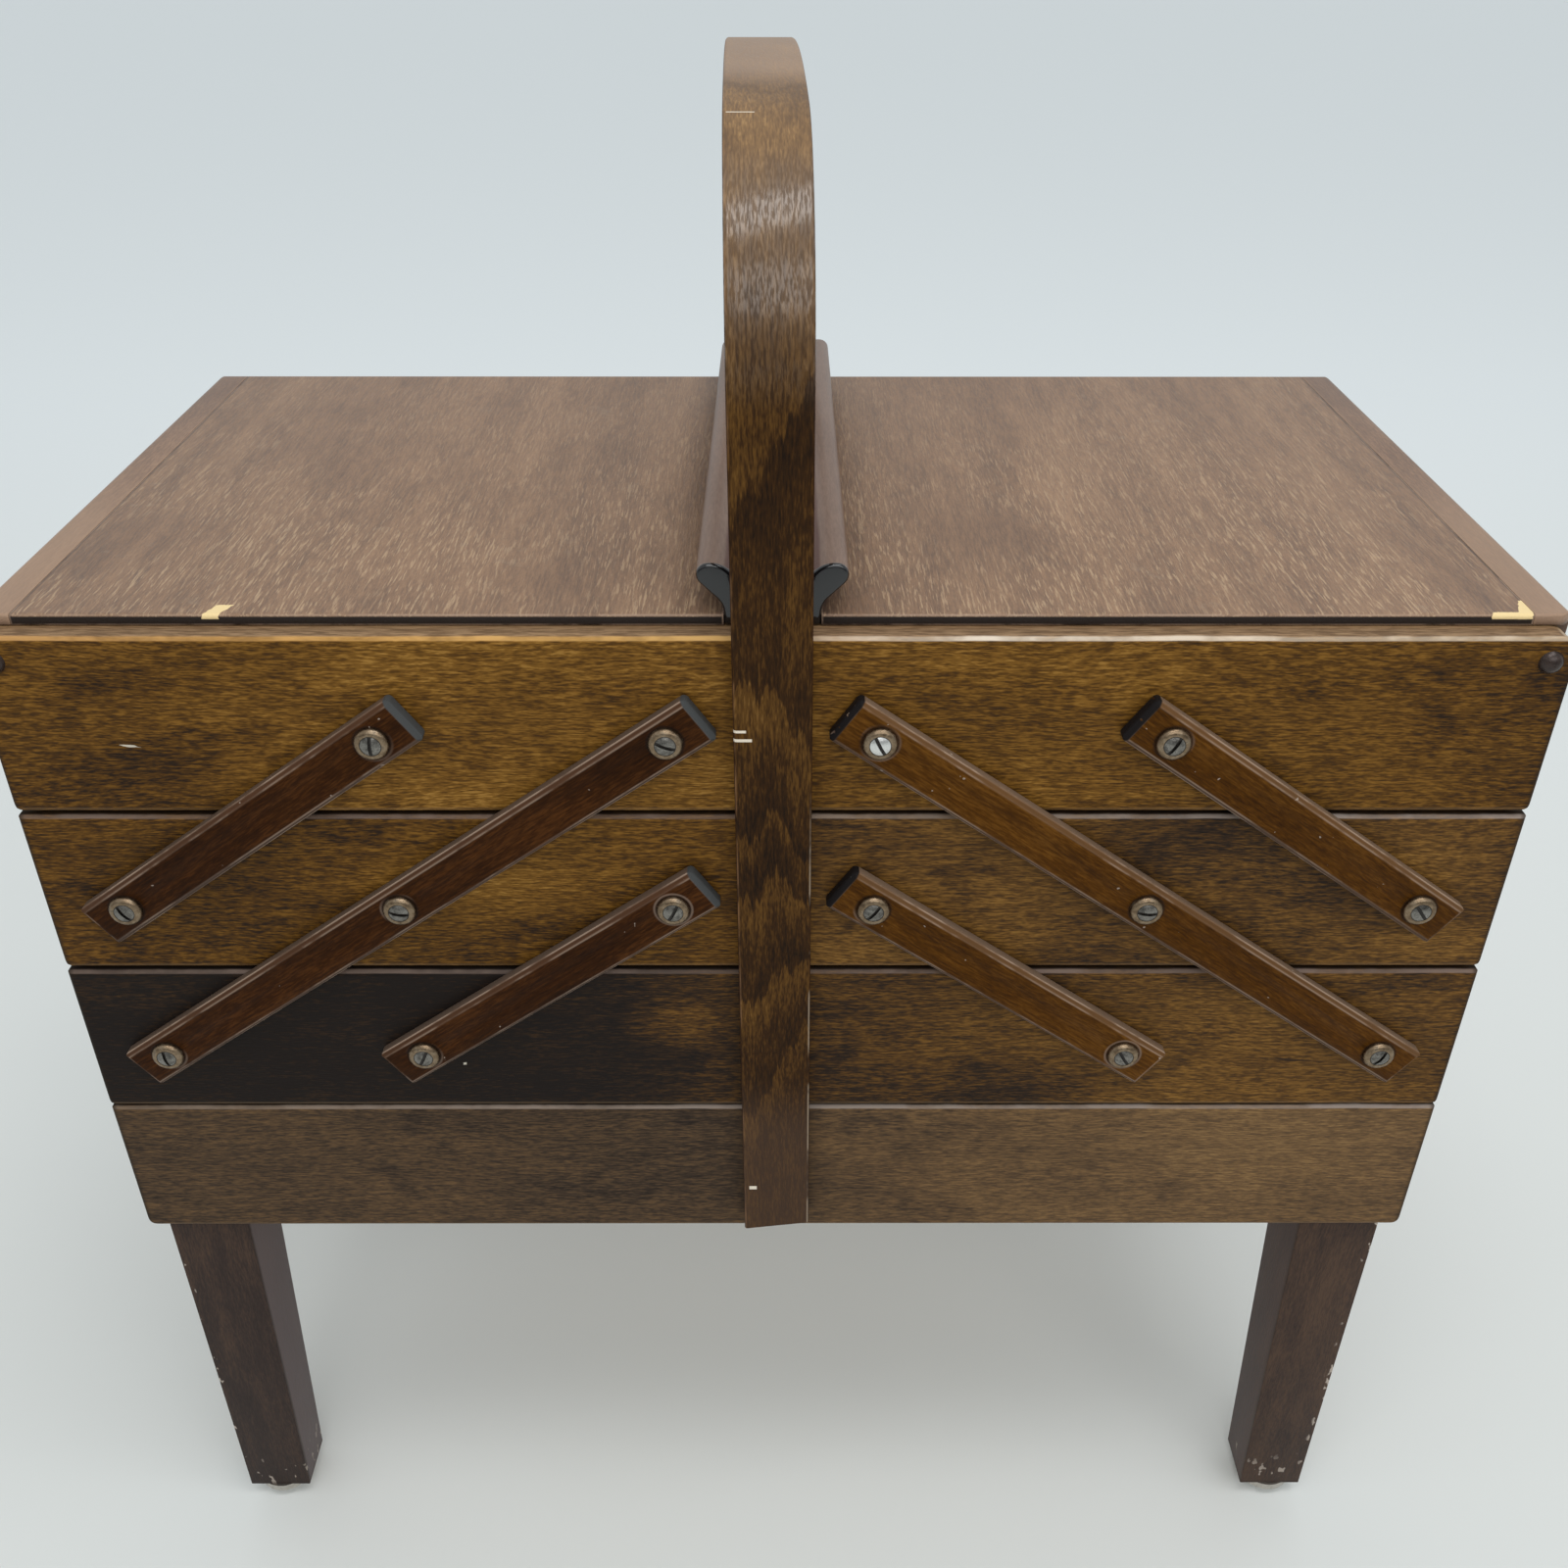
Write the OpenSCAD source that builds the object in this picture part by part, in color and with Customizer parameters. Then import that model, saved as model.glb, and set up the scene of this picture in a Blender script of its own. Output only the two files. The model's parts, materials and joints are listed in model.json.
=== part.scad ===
// Cantilever sewing carrier: a deep base on four legs, with a middle tray, a top tray and a lid
// on each side of a fixed bentwood handle. Six arms a side carry the trays out and back.
// Millimetres. The origin is on the floor under the middle of the box. The front faces -Y.

/* [Box] */
// Width over the end boards
body_w = 442; // [400:1:480]
// Depth over the front and back boards
body_d = 232; // [200:1:260]
// Height of one row of boards
row_h = 58; // [54:1:64]
// Thickness of the front, back and end boards
wall_t = 9; // [8:0.5:10]
// Thickness of the plywood bottom of the base
base_bottom_t = 5; // [4:0.5:8]
// Radius of the long outer edges of the boards
edge_r = 2.5; // [1:0.5:3]
// Radius of the boards' lower corners, seen from the front
corner_r = 4.5; // [2:0.5:5]
// Radius of the lowest corners of the base, seen from the front
foot_corner_r = 6; // [3:0.5:7]

/* [Trays] */
// Gap between the left and right trays
middle_gap = 1; // [0.6:0.2:2]
// Gap left below each tray when the carrier is shut
stack_gap = 0.4; // [0.3:0.1:0.8]
// How far the tray fronts lie behind the front of the base
tray_inset = 0.5; // [0.4:0.1:1]
// Thickness of the plywood bottom of a tray
tray_bottom_t = 4; // [3:0.5:6]

/* [Arms] */
// Width of an arm
arm_w = 15.5; // [13:0.5:18]
// Thickness of an arm
arm_t = 4.5; // [4:0.5:7]
// Width of the bevel round an arm's outer face
arm_bevel = 1.3; // [0.5:0.1:1.8]
// Length of an arm past its end pivots
arm_over = 12.5; // [9:0.5:13]
// Distance from the middle of the box to the first pivots
pivot_first = 30; // [28:1:34]
// Distance along the box from each pivot to the next
pivot_step = 82; // [76:1:84]
// Height of the pivots above the foot of their row
pivot_rise = 27.5; // [24:0.5:32]
// Gap between an arm and the front of the base
arm_gap = 0.5; // [0.4:0.1:1]

/* [Lids] */
// Thickness of a lid panel
lid_t = 3.4; // [3:0.1:5]
// How far a lid's front and back edges lie inside the outer faces of its tray
lid_inset = 6.5; // [5:0.5:8]
// Width of the rail along the outer edge of a lid
rail_w = 11.5; // [10:0.5:14]
// Distance from the outer edge of the box to the hinge pins
hinge_in = 7; // [6:0.5:8]
// Depth of the hinge pins below the tops of the tray walls
hinge_down = 8; // [7:0.5:9]
// Height of a pull strip above its lid
pull_h = 14.8; // [13:0.1:16]

/* [Handle] */
// Width of the handle strip
handle_w = 22; // [18:1:26]
// Thickness of the handle strip
handle_t = 7; // [5:0.5:9]
// Height of the straight part's top above the foot of the base
handle_straight = 300.5; // [280:0.5:320]
// Outer radius of the two bends
handle_bend_r = 60; // [40:1:75]
// Outer radius of the crown between the bends
handle_crown_r = 560; // [400:10:700]
// Height of the handle's lower ends above the foot of the base
handle_foot = 8.2; // [4:0.1:15]
// Slant of the cut across the lower ends, in degrees
handle_cut = 8; // [0:1:12]
// Sideways place of the front end of the handle, from the middle of the box
handle_foot_x = 0.7; // [-3:0.1:3]
// Lean of the handle's front to the left, in degrees
handle_front_lean = 0.2; // [0:0.1:1.5]
// Lean of the handle's back to the left, in degrees
handle_back_lean = 1.3; // [0:0.1:1.5]
// Turn of the crown to the left towards the back, seen from above, in degrees
handle_skew = 1.35; // [0:0.05:1.5]

/* [Legs] */
// Height of the box above the floor
leg_h = 165.5; // [120:0.5:200]
// Width and depth of a leg at the top
leg_top = [28, 28]; // [24:1:32]
// Width and depth of a leg at the bottom
leg_foot = [24, 20]; // [16:1:24]
// How far the legs' outer faces lie inside the end and the front of the box
leg_inset = [5, 4]; // [2:0.5:8]
// Diameter of the metal glide under a leg
glide_d = 22; // [16:1:24]
// Height of the metal glide
glide_h = 7; // [4:0.5:8]

/* [Fastenings] */
// Diameter of the pivot screws and hinge pins in the wood
shank_d = 3.5; // [3:0.1:4]
// Play between a pin or screw and what turns on it, on the diameter
running_play = 0.12; // [0.06:0.01:0.18]
// Outer diameter of the cup washers
washer_d = 10; // [9:0.1:11]
// Diameter of the pivot screws' heads
head_d = 6.2; // [5.8:0.1:6.6]

/* [Hidden] */
$fn = 64;
left = -1;
right = 1;
outer_r = 1.2;
inner_r = 1;
half_w = body_w / 2;
half_d = body_d / 2;

// Heights of the feet of the four rows, from the floor
base_z = leg_h;
deep_z = base_z + row_h;
mid_z = deep_z + row_h;
top_z = mid_z + row_h;
lid_z = top_z + row_h;
lid_gap = 0.2;
tray_h = row_h - stack_gap - lid_gap;

// The trays' outlines, on the right-hand side
tray_x0 = middle_gap / 2;
tray_len = half_w - tray_x0;
tray_half_d = half_d - tray_inset;
tray_inside_half_d = tray_half_d - wall_t;

// Pivots, from the middle of the box outwards
pivot_x = [pivot_first, pivot_first + pivot_step, pivot_first + 2 * pivot_step];
arm_angle = atan2(row_h, pivot_step);
arm_pitch = norm([row_h, pivot_step]);
arm_face = half_d + arm_gap + arm_t;
arm_corner_r = 1.5;
shank_r = shank_d / 2;
bore_r = (shank_d + running_play) / 2;
screw_bite = 8;

// The way each screw's slot is turned at the front, from the middle of the box outwards
base_slots = [[64, -79], [-59, 58]];
mid_slots = [[63, -10, -56], [51, -4, -54]];
top_slots = [[-20, 88], [-63, 59]];
back_slot_turn = 37;

// Cup washer and oval screw head, measured outwards from the face of the arm
washer_h = 1.9;
washer_round = 1.6;
cone_top = 1.8;
cone_foot = 0.3;
dome_h = 2.7;
head_r = head_d / 2;
dome_rise = dome_h - cone_top;
dome_r = (head_r * head_r + dome_rise * dome_rise) / (2 * dome_rise);
slot_w = 1;
slot_depth = 0.9;

// Hinges of the lids
hinge_x = half_w - hinge_in;
hinge_z = lid_z - hinge_down;
rail_half_d = tray_inside_half_d - 0.5;
pin_depth = 10;
pin_head_r = 3.5;
pin_head_h = 2.5;
end_wall_clear = 1.5;

// Profile of the pull strips: x from the middle of the box, z from the top of the lid
pull_back_x = tray_x0;
pull_neck_x = 13.4;
pull_lip_r = 3.3;
pull_crown_r = 8;
pull_crown_x = 17;
pull_valley_r = 8;
pull_slope = 41.5;
pull_slope_len = 3;
pull_lip_turn = 84;

// Height over the foot of the base below which the handle's strip leans, and its middle there
handle_fold = handle_straight - 4;
handle_mid_y = half_d + handle_t / 2;
handle_top = [handle_foot_x - handle_fold * tan(handle_front_lean), -handle_mid_y];

// Inside screws
inside_screw_r = 2;
inside_head_r = 4;
inside_head_h = 2.2;
handle_screw_len = 13;
leg_screw_len = 34;

// Colours
golden = [0.45, 0.31, 0.18];
dark_golden = [0.33, 0.22, 0.14];
end_grain = [0.42, 0.29, 0.17];
mahogany = [0.36, 0.17, 0.09];
handle_brown = [0.40, 0.26, 0.15];
leg_brown = [0.27, 0.20, 0.18];
lid_brown = [0.46, 0.37, 0.33];
rail_brown = [0.30, 0.17, 0.12];
pull_brown = [0.22, 0.12, 0.09];
plywood = [0.62, 0.47, 0.30];
brass = [0.62, 0.50, 0.38];
steel = [0.48, 0.46, 0.44];
dark_metal = [0.18, 0.14, 0.12];

// Points along an arc from angle a to angle b
function arc(centre, r, a, b, steps = 8) =
    [for (i = [0:steps]) let (t = a + (b - a) * i / steps) centre + r * [cos(t), sin(t)]];

// Rectangle with its own radius at each corner: bottom left, bottom right, top right, top left
module rounded_rect(size, radii) {
    corners = [[0, 0], [size.x, 0], [size.x, size.y], [0, size.y]];
    difference() {
        square(size);
        for (i = [0:3]) if (radii[i] > 0)
            translate(corners[i]) rotate(90 * i) difference() {
                translate([-1, -1]) square(radii[i] + 1);
                translate([radii[i], radii[i]]) circle(radii[i]);
            }
    }
}

// A board lying in the XZ plane with its outer face on y = 0, rounded in all three views
module board(size, front_radii, end_radii = [0, 0, 0, 0], plan_radii = [0, 0, 0, 0]) {
    intersection() {
        translate([0, size.y, 0]) rotate([90, 0, 0])
            linear_extrude(size.y) rounded_rect([size.x, size.z], front_radii);
        rotate([90, 0, 90]) linear_extrude(size.x) rounded_rect([size.y, size.z], end_radii);
        linear_extrude(size.z) rounded_rect([size.x, size.y], plan_radii);
    }
}

// Puts what was drawn for the right-hand side on either side
module on_side(side) {
    if (side == left) mirror([1, 0, 0]) children();
    else children();
}

// Draws what was made for the front at the front and again at the back
module front_and_back() {
    children();
    mirror([0, 1, 0]) children();
}

// Bores for pivot screws through a front board, at the given places along x
module pivot_bores(places, z, depth) {
    for (x = places)
        translate([x, -half_d - 1, z]) rotate([-90, 0, 0]) cylinder(h = depth + 1, r = shank_r);
}

// One front board of the base
module base_board(z, low_r, bored) {
    difference() {
        translate([-half_w, -half_d, z])
            board([body_w, wall_t, row_h], [low_r, low_r, inner_r, inner_r],
                  [edge_r, 0, inner_r, edge_r], [outer_r, outer_r, 0, 0]);
        if (bored) for (s = [left, right])
            pivot_bores([s * pivot_x[1], s * pivot_x[2]], z + pivot_rise, screw_bite);
        handle_screw_holes();
    }
}

// One end board of the base, for the right-hand side
module base_end(z, low_r) {
    translate([half_w - wall_t, -half_d + wall_t, z])
        board([wall_t, body_d - 2 * wall_t, row_h], [0, low_r, inner_r, inner_r]);
}

module base_bottom() {
    color(plywood) difference() {
        translate([-half_w + wall_t, -half_d + wall_t, base_z])
            cube([body_w - 2 * wall_t, body_d - 2 * wall_t, base_bottom_t]);
        leg_screw_holes();
    }
}

// Area under the hoop's outer face, or under its inner face when drawn in by the thickness
module hoop_area(drawn_in) {
    half = half_d + handle_t - drawn_in;
    bend = handle_bend_r - drawn_in;
    crown = handle_crown_r - drawn_in;
    bend_y = half - bend;
    swing = asin(bend_y / (crown - bend));
    crown_z = handle_straight - (crown - bend) * cos(swing);
    reach = 2 * crown;
    translate([-half, -drawn_in]) square([2 * half, handle_straight + drawn_in]);
    for (s = [-1, 1]) translate([s * bend_y, handle_straight]) circle(bend, $fn = 96);
    intersection() {
        translate([0, crown_z]) circle(crown, $fn = 720);
        translate([0, crown_z])
            polygon([[0, 0], reach * [sin(swing), cos(swing)], reach * [-sin(swing), cos(swing)]]);
        translate([-half, 0]) square([2 * half, reach]);
    }
}

// Everything left of one side of the hoop's strip: upright at the top, leaned below the fold
module left_of_side(x) {
    reach = 4 * handle_straight;
    depth = 2 * handle_bend_r;
    translate([handle_top.x, handle_top.y, handle_fold]) rotate(handle_skew) {
        translate([x - reach, -reach / 2, -reach / 2]) cube(reach);
        for (part = [[0, handle_front_lean], [2 * handle_mid_y, handle_back_lean]])
            translate([x, part[0] - depth / 2, 0]) rotate([0, -part[1], 0])
                translate([-reach, 0, -reach]) cube([reach, depth, reach + depth]);
    }
}

// The bentwood hoop, a little askew, with its ends cut on the slant
module handle() {
    color(handle_brown) difference() {
        translate([0, 0, base_z]) intersection() {
            rotate([90, 0, 90]) linear_extrude(2 * handle_w, center = true) difference() {
                hoop_area(0);
                hoop_area(handle_t);
            }
            difference() {
                left_of_side(handle_w / 2);
                left_of_side(-handle_w / 2);
            }
        }
        translate([0, 0, base_z + handle_foot]) rotate([0, -handle_cut, 0])
            translate([-handle_w, -body_d, -row_h]) cube([2 * handle_w, 2 * body_d, row_h]);
        handle_screw_holes();
    }
}

// Screws through the base boards into the handle, one in each row, front and back
module at_handle_screws() {
    front_and_back() for (z = [base_z + row_h / 2, deep_z + row_h / 2])
        translate([0, -half_d + wall_t, z]) rotate([90, 0, 0]) children();
}

// Over the middle of each leg's foot, at a height
module at_legs(z) {
    foot = [half_w - leg_inset.x - leg_foot.x / 2, half_d - leg_inset.y - leg_foot.y / 2];
    for (sx = [-1, 1], sy = [-1, 1]) translate([sx * foot.x, sy * foot.y, z]) children();
}

// A countersunk wood screw, its head's face on z = 0 and its point up the Z axis
module wood_screw(length) {
    cylinder(h = inside_head_h, r1 = inside_head_r, r2 = inside_screw_r);
    cylinder(h = length, r = inside_screw_r);
}

module handle_screw_holes() {
    at_handle_screws() wood_screw(handle_screw_len);
}

// Screws down through the plywood bottom into the legs
module leg_screw_holes() {
    at_legs(base_z + base_bottom_t) rotate([180, 0, 0]) wood_screw(leg_screw_len);
}

module inside_screws() {
    color(steel) {
        handle_screw_holes();
        leg_screw_holes();
    }
}

// A leg drawn for the front right corner: outer faces upright, inner faces tapered
module leg(side, face) {
    h = leg_h - glide_h;
    x1 = half_w - leg_inset.x;
    y1 = half_d - leg_inset.y;
    color(leg_brown) difference() {
        scale([side, face, 1]) translate([0, 0, glide_h]) intersection() {
            translate([0, 0, 0]) rotate([90, 0, 0]) linear_extrude(half_d)
                polygon([[x1, 0], [x1, h], [x1 - leg_top.x, h], [x1 - leg_foot.x, 0]]);
            rotate([90, 0, 90]) linear_extrude(half_w)
                polygon([[-y1, 0], [-y1, h], [-y1 + leg_top.y, h], [-y1 + leg_foot.y, 0]]);
        }
        leg_screw_holes();
        at_legs(0) glide_nail();
    }
}

module glide_nail() {
    cylinder(h = glide_h + 12, r = 1.2);
}

// A shallow metal dome with a small flat to stand on
module glide_dome() {
    r = glide_d / 2;
    flat_r = 4;
    skirt = 3;
    rise = glide_h - skirt;
    centre = (r * r + rise * rise - flat_r * flat_r) / (2 * rise);
    rotate_extrude() intersection() {
        square([r, glide_h]);
        union() {
            translate([0, centre]) circle(norm([flat_r, centre]), $fn = 96);
            translate([0, rise]) square([r, skirt]);
        }
    }
}

module leg_glides() {
    color(steel) at_legs(0) {
        glide_dome();
        glide_nail();
    }
}

// Places the hardware of one row of pivots, facing outwards at the front and at the back.
// The slots are given for the front, from the middle outwards.
module at_pivots(side, z, first, slots) {
    for (i = [0:len(slots) - 1]) {
        x = side * pivot_x[first + i];
        translate([x, -arm_face, z]) rotate([90, 0, 0]) rotate(slots[i]) children();
        translate([x, arm_face, z]) rotate([-90, 0, 0]) rotate(slots[i] + back_slot_turn) children();
    }
}

// Slotted oval-head screw, from the face of the arm outwards
module pivot_screw() {
    difference() {
        union() {
            intersection() {
                translate([0, 0, dome_h - dome_r]) sphere(dome_r, $fn = 96);
                translate([0, 0, cone_top]) cylinder(h = dome_h, r = head_r);
            }
            translate([0, 0, cone_foot])
                cylinder(h = cone_top - cone_foot, r1 = shank_r, r2 = head_r);
        }
        translate([-head_d, -slot_w / 2, dome_h - slot_depth]) cube([2 * head_d, slot_w, dome_h]);
    }
    translate([0, 0, -arm_t - arm_gap - screw_bite])
        cylinder(h = arm_t + arm_gap + screw_bite + cone_foot, r = shank_r);
}

// Cup washer: a rounded ring with a conical seat for the screw's head
module cup_washer() {
    r = washer_d / 2;
    seat = 0.03;
    rotate_extrude() difference() {
        intersection() {
            square([r, washer_h]);
            union() {
                square([r - washer_round, washer_h]);
                translate([r - washer_round, washer_h - washer_round]) circle(washer_round);
                square([r, washer_h - washer_round]);
            }
        }
        polygon([[0, -1], [shank_r + seat, -1], [shank_r + seat, cone_foot],
                 [head_r + seat, cone_top], [head_r + seat, washer_h + 1], [0, washer_h + 1]]);
    }
}

module base_pivot_screws() {
    color(steel) for (s = [0, 1])
        at_pivots(2 * s - 1, deep_z + pivot_rise, 1, base_slots[s]) pivot_screw();
}

module base_pivot_washers() {
    color(brass) for (s = [0, 1])
        at_pivots(2 * s - 1, deep_z + pivot_rise, 1, base_slots[s]) cup_washer();
}

function side_index(side) = side == left ? 0 : 1;

module mid_pivot_screws(side) {
    color(steel) at_pivots(side, mid_z + pivot_rise, 0, mid_slots[side_index(side)]) pivot_screw();
}

module mid_pivot_washers(side) {
    color(brass) at_pivots(side, mid_z + pivot_rise, 0, mid_slots[side_index(side)]) cup_washer();
}

module top_pivot_screws(side) {
    color(steel) at_pivots(side, top_z + pivot_rise, 0, top_slots[side_index(side)]) pivot_screw();
}

module top_pivot_washers(side) {
    color(brass) at_pivots(side, top_z + pivot_rise, 0, top_slots[side_index(side)]) cup_washer();
}

// A long front board of a tray, drawn for the right-hand side
module tray_board(z, top_corner_r, places) {
    difference() {
        translate([tray_x0, -tray_half_d, z + stack_gap])
            board([tray_len, wall_t, tray_h], [inner_r, corner_r, top_corner_r, inner_r],
                  [edge_r, inner_r, inner_r, edge_r], [inner_r, outer_r, 0, 0]);
        pivot_bores(places, z + pivot_rise, screw_bite);
    }
}

module mid_board(side, face) {
    color(golden) on_side(side) scale([1, face, 1]) tray_board(mid_z, inner_r, pivot_x);
}

module top_board(side, face) {
    color(golden) on_side(side) scale([1, face, 1]) difference() {
        tray_board(top_z, hinge_in, [pivot_x[0], pivot_x[1]]);
        translate([hinge_x, -half_d, hinge_z]) rotate([-90, 0, 0]) cylinder(h = body_d, r = shank_r);
    }
}

// Cross boards between a tray's front and back
module tray_cross(x, z, height, radii) {
    translate([x, -tray_inside_half_d, z + stack_gap])
        board([wall_t, 2 * tray_inside_half_d, height], radii);
}

module mid_outer_end(side) {
    color(end_grain) on_side(side)
        tray_cross(half_w - wall_t, mid_z, tray_h, [inner_r, corner_r, inner_r, inner_r]);
}

// The end board under the lid's rail stops short of it
module top_outer_end(side) {
    height = hinge_z - hinge_in - end_wall_clear - top_z - stack_gap;
    color(end_grain) on_side(side)
        tray_cross(half_w - wall_t, top_z, height, [inner_r, corner_r, inner_r, inner_r]);
}

module inner_end(side, z) {
    color(end_grain) on_side(side)
        tray_cross(tray_x0, z, tray_h, [inner_r, inner_r, inner_r, inner_r]);
}

module tray_bottom(side, z) {
    color(plywood) on_side(side)
        translate([tray_x0 + wall_t, -tray_inside_half_d, z + stack_gap + 1])
            cube([tray_len - 2 * wall_t, 2 * tray_inside_half_d, tray_bottom_t]);
}

module hinge_pin_shape(r, length) {
    translate([hinge_x, -tray_half_d, hinge_z]) rotate([-90, 0, 0]) cylinder(h = length, r = r);
}

// Round-headed pins through the tray walls into the rail
module lid_pins(side) {
    dome_centre = (pin_head_r * pin_head_r - pin_head_h * pin_head_h) / (2 * pin_head_h);
    color(dark_metal) on_side(side) front_and_back() {
        hinge_pin_shape(shank_r, wall_t + pin_depth);
        translate([hinge_x, -tray_half_d, hinge_z]) rotate([90, 0, 0]) intersection() {
            translate([0, 0, -dome_centre]) sphere(pin_head_h + dome_centre, $fn = 96);
            cylinder(h = pin_head_h, r = pin_head_r);
        }
    }
}

module lid_panel(side) {
    lid_half_d = half_d - lid_inset - tray_inset;
    color(lid_brown) on_side(side) translate([pull_neck_x, -lid_half_d, lid_z])
        board([half_w - rail_w - pull_neck_x, 2 * lid_half_d, lid_t], [0, 0, 0, 0],
              [0.5, 0.5, inner_r, inner_r]);
}

// Rail along the lid's outer edge: it turns on the pins, so its lower outer corner is round
module lid_rail(side) {
    lid_half_d = half_d - lid_inset - tray_inset;
    foot_z = hinge_z - hinge_in;
    x0 = half_w - rail_w;
    color(rail_brown) on_side(side) difference() {
        union() {
            translate([x0, -rail_half_d, foot_z])
                board([rail_w, 2 * rail_half_d, lid_z - foot_z], [inner_r, hinge_in, 0, 0]);
            translate([x0, -lid_half_d, lid_z])
                board([rail_w, 2 * lid_half_d, lid_t], [0, 0, edge_r, 0],
                      [0.5, 0.5, inner_r, inner_r], [0, 5, 5, 0]);
        }
        front_and_back() hinge_pin_shape(bore_r, wall_t + pin_depth + 1);
    }
}

// Moulded strip along the lid's inner edge, with a cove under its lip for the fingers
module pull_profile() {
    crown = [pull_crown_x, pull_h - pull_crown_r];
    lip = crown + (pull_crown_r - pull_lip_r) * [cos(pull_lip_turn), sin(pull_lip_turn)];
    cove_r = (pull_neck_x - lip.x + lip.y - 2 * pull_lip_r * sin(45)) / (2 * sin(45) - 1);
    slope_top = crown + pull_crown_r * [-sin(pull_slope), cos(pull_slope)];
    slope_foot = slope_top - pull_slope_len * [cos(pull_slope), sin(pull_slope)];
    valley = slope_foot + pull_valley_r * [-sin(pull_slope), cos(pull_slope)];
    polygon(concat(
        [[pull_back_x, -lid_t], [pull_neck_x, -lid_t]],
        arc([pull_neck_x + cove_r, 0], cove_r, 180, 135),
        arc(lip, pull_lip_r, -45, pull_lip_turn),
        arc(crown, pull_crown_r, pull_lip_turn, 90 + pull_slope),
        arc(valley, pull_valley_r, pull_slope - 90, -90),
        [[pull_back_x, valley.y - pull_valley_r]]));
}

module lid_pull(side) {
    lid_half_d = half_d - lid_inset - tray_inset;
    color(pull_brown) on_side(side) translate([0, lid_half_d, lid_z + lid_t]) rotate([90, 0, 0])
        linear_extrude(2 * lid_half_d) pull_profile();
}

// An arm along +X from its first pivot, its outer face bevelled, with its bores
module arm(pivots) {
    length = arm_pitch * (pivots - 1) + 2 * arm_over;
    across = [[0, 0], [arm_t, 0], [arm_t, arm_w], [0, arm_w]];
    difference() {
        translate([-arm_over, -arm_face, -arm_w / 2]) intersection() {
            translate([0, arm_t, 0]) rotate([90, 0, 0])
                linear_extrude(arm_t) rounded_rect([length, arm_w], arm_corner_r * [1, 1, 1, 1]);
            rotate([90, 0, 90]) linear_extrude(length)
                polygon([[0, arm_bevel], [arm_bevel, 0], [arm_t, 0], [arm_t, arm_w],
                         [arm_bevel, arm_w], [0, arm_w - arm_bevel]]);
            linear_extrude(arm_w)
                polygon([[arm_bevel, 0], [length - arm_bevel, 0], [length, arm_bevel], [length, arm_t],
                         [0, arm_t], [0, arm_bevel]]);
        }
        for (i = [0:pivots - 1])
            translate([i * arm_pitch, -arm_face - 1, 0]) rotate([-90, 0, 0])
                cylinder(h = arm_t + 2, r = bore_r);
    }
}

// A pair of arms, front and back, from the pivot at x and z up towards the middle
module arm_pair(side, x, z, pivots) {
    color(mahogany) on_side(-side) front_and_back()
        translate([-x, 0, z]) rotate([0, -arm_angle, 0]) arm(pivots);
}

color(dark_golden) base_board(base_z, foot_corner_r, false);  // base_front_lower
color(dark_golden) base_board(deep_z, corner_r, true);  // base_front_upper
color(dark_golden) mirror([0, 1, 0]) base_board(base_z, foot_corner_r, false);  // base_back_lower
color(dark_golden) mirror([0, 1, 0]) base_board(deep_z, corner_r, true);  // base_back_upper
color(dark_golden) on_side(left) base_end(base_z, foot_corner_r);  // base_left_end_lower
color(dark_golden) on_side(left) base_end(deep_z, corner_r);  // base_left_end_upper
color(dark_golden) base_end(base_z, foot_corner_r);  // base_right_end_lower
color(dark_golden) base_end(deep_z, corner_r);  // base_right_end_upper
base_bottom();
handle();
leg(left, 1);  // leg_front_left
leg(right, 1);  // leg_front_right
leg(left, -1);  // leg_back_left
leg(right, -1);  // leg_back_right
leg_glides();
inside_screws();
base_pivot_screws();
base_pivot_washers();

for (side = [left, right]) {
    name = side == left ? "left" : "right";
    mid_board(side, 1);
    mid_board(side, -1);
    mid_outer_end(side);
    inner_end(side, mid_z);
    tray_bottom(side, mid_z);
    mid_pivot_screws(side);
    mid_pivot_washers(side);
    top_board(side, 1);
    top_board(side, -1);
    top_outer_end(side);
    inner_end(side, top_z);
    tray_bottom(side, top_z);
    top_pivot_screws(side);
    top_pivot_washers(side);
    lid_pins(side);
    lid_panel(side);
    lid_rail(side);
    lid_pull(side);
    arm_pair(side, pivot_x[2], deep_z + pivot_rise, 3);
    arm_pair(side, pivot_x[1], deep_z + pivot_rise, 2);
    arm_pair(side, pivot_x[2], mid_z + pivot_rise, 2);
}
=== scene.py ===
# Dresses the cantilever sewing carrier: finer wooden pieces where they show most, a finish for
# every surface, a pale floor, soft lights and the camera. Metres, +Z up, the front faces -Y.
import json
import math

import bpy
from mathutils import Matrix, Vector

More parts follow.
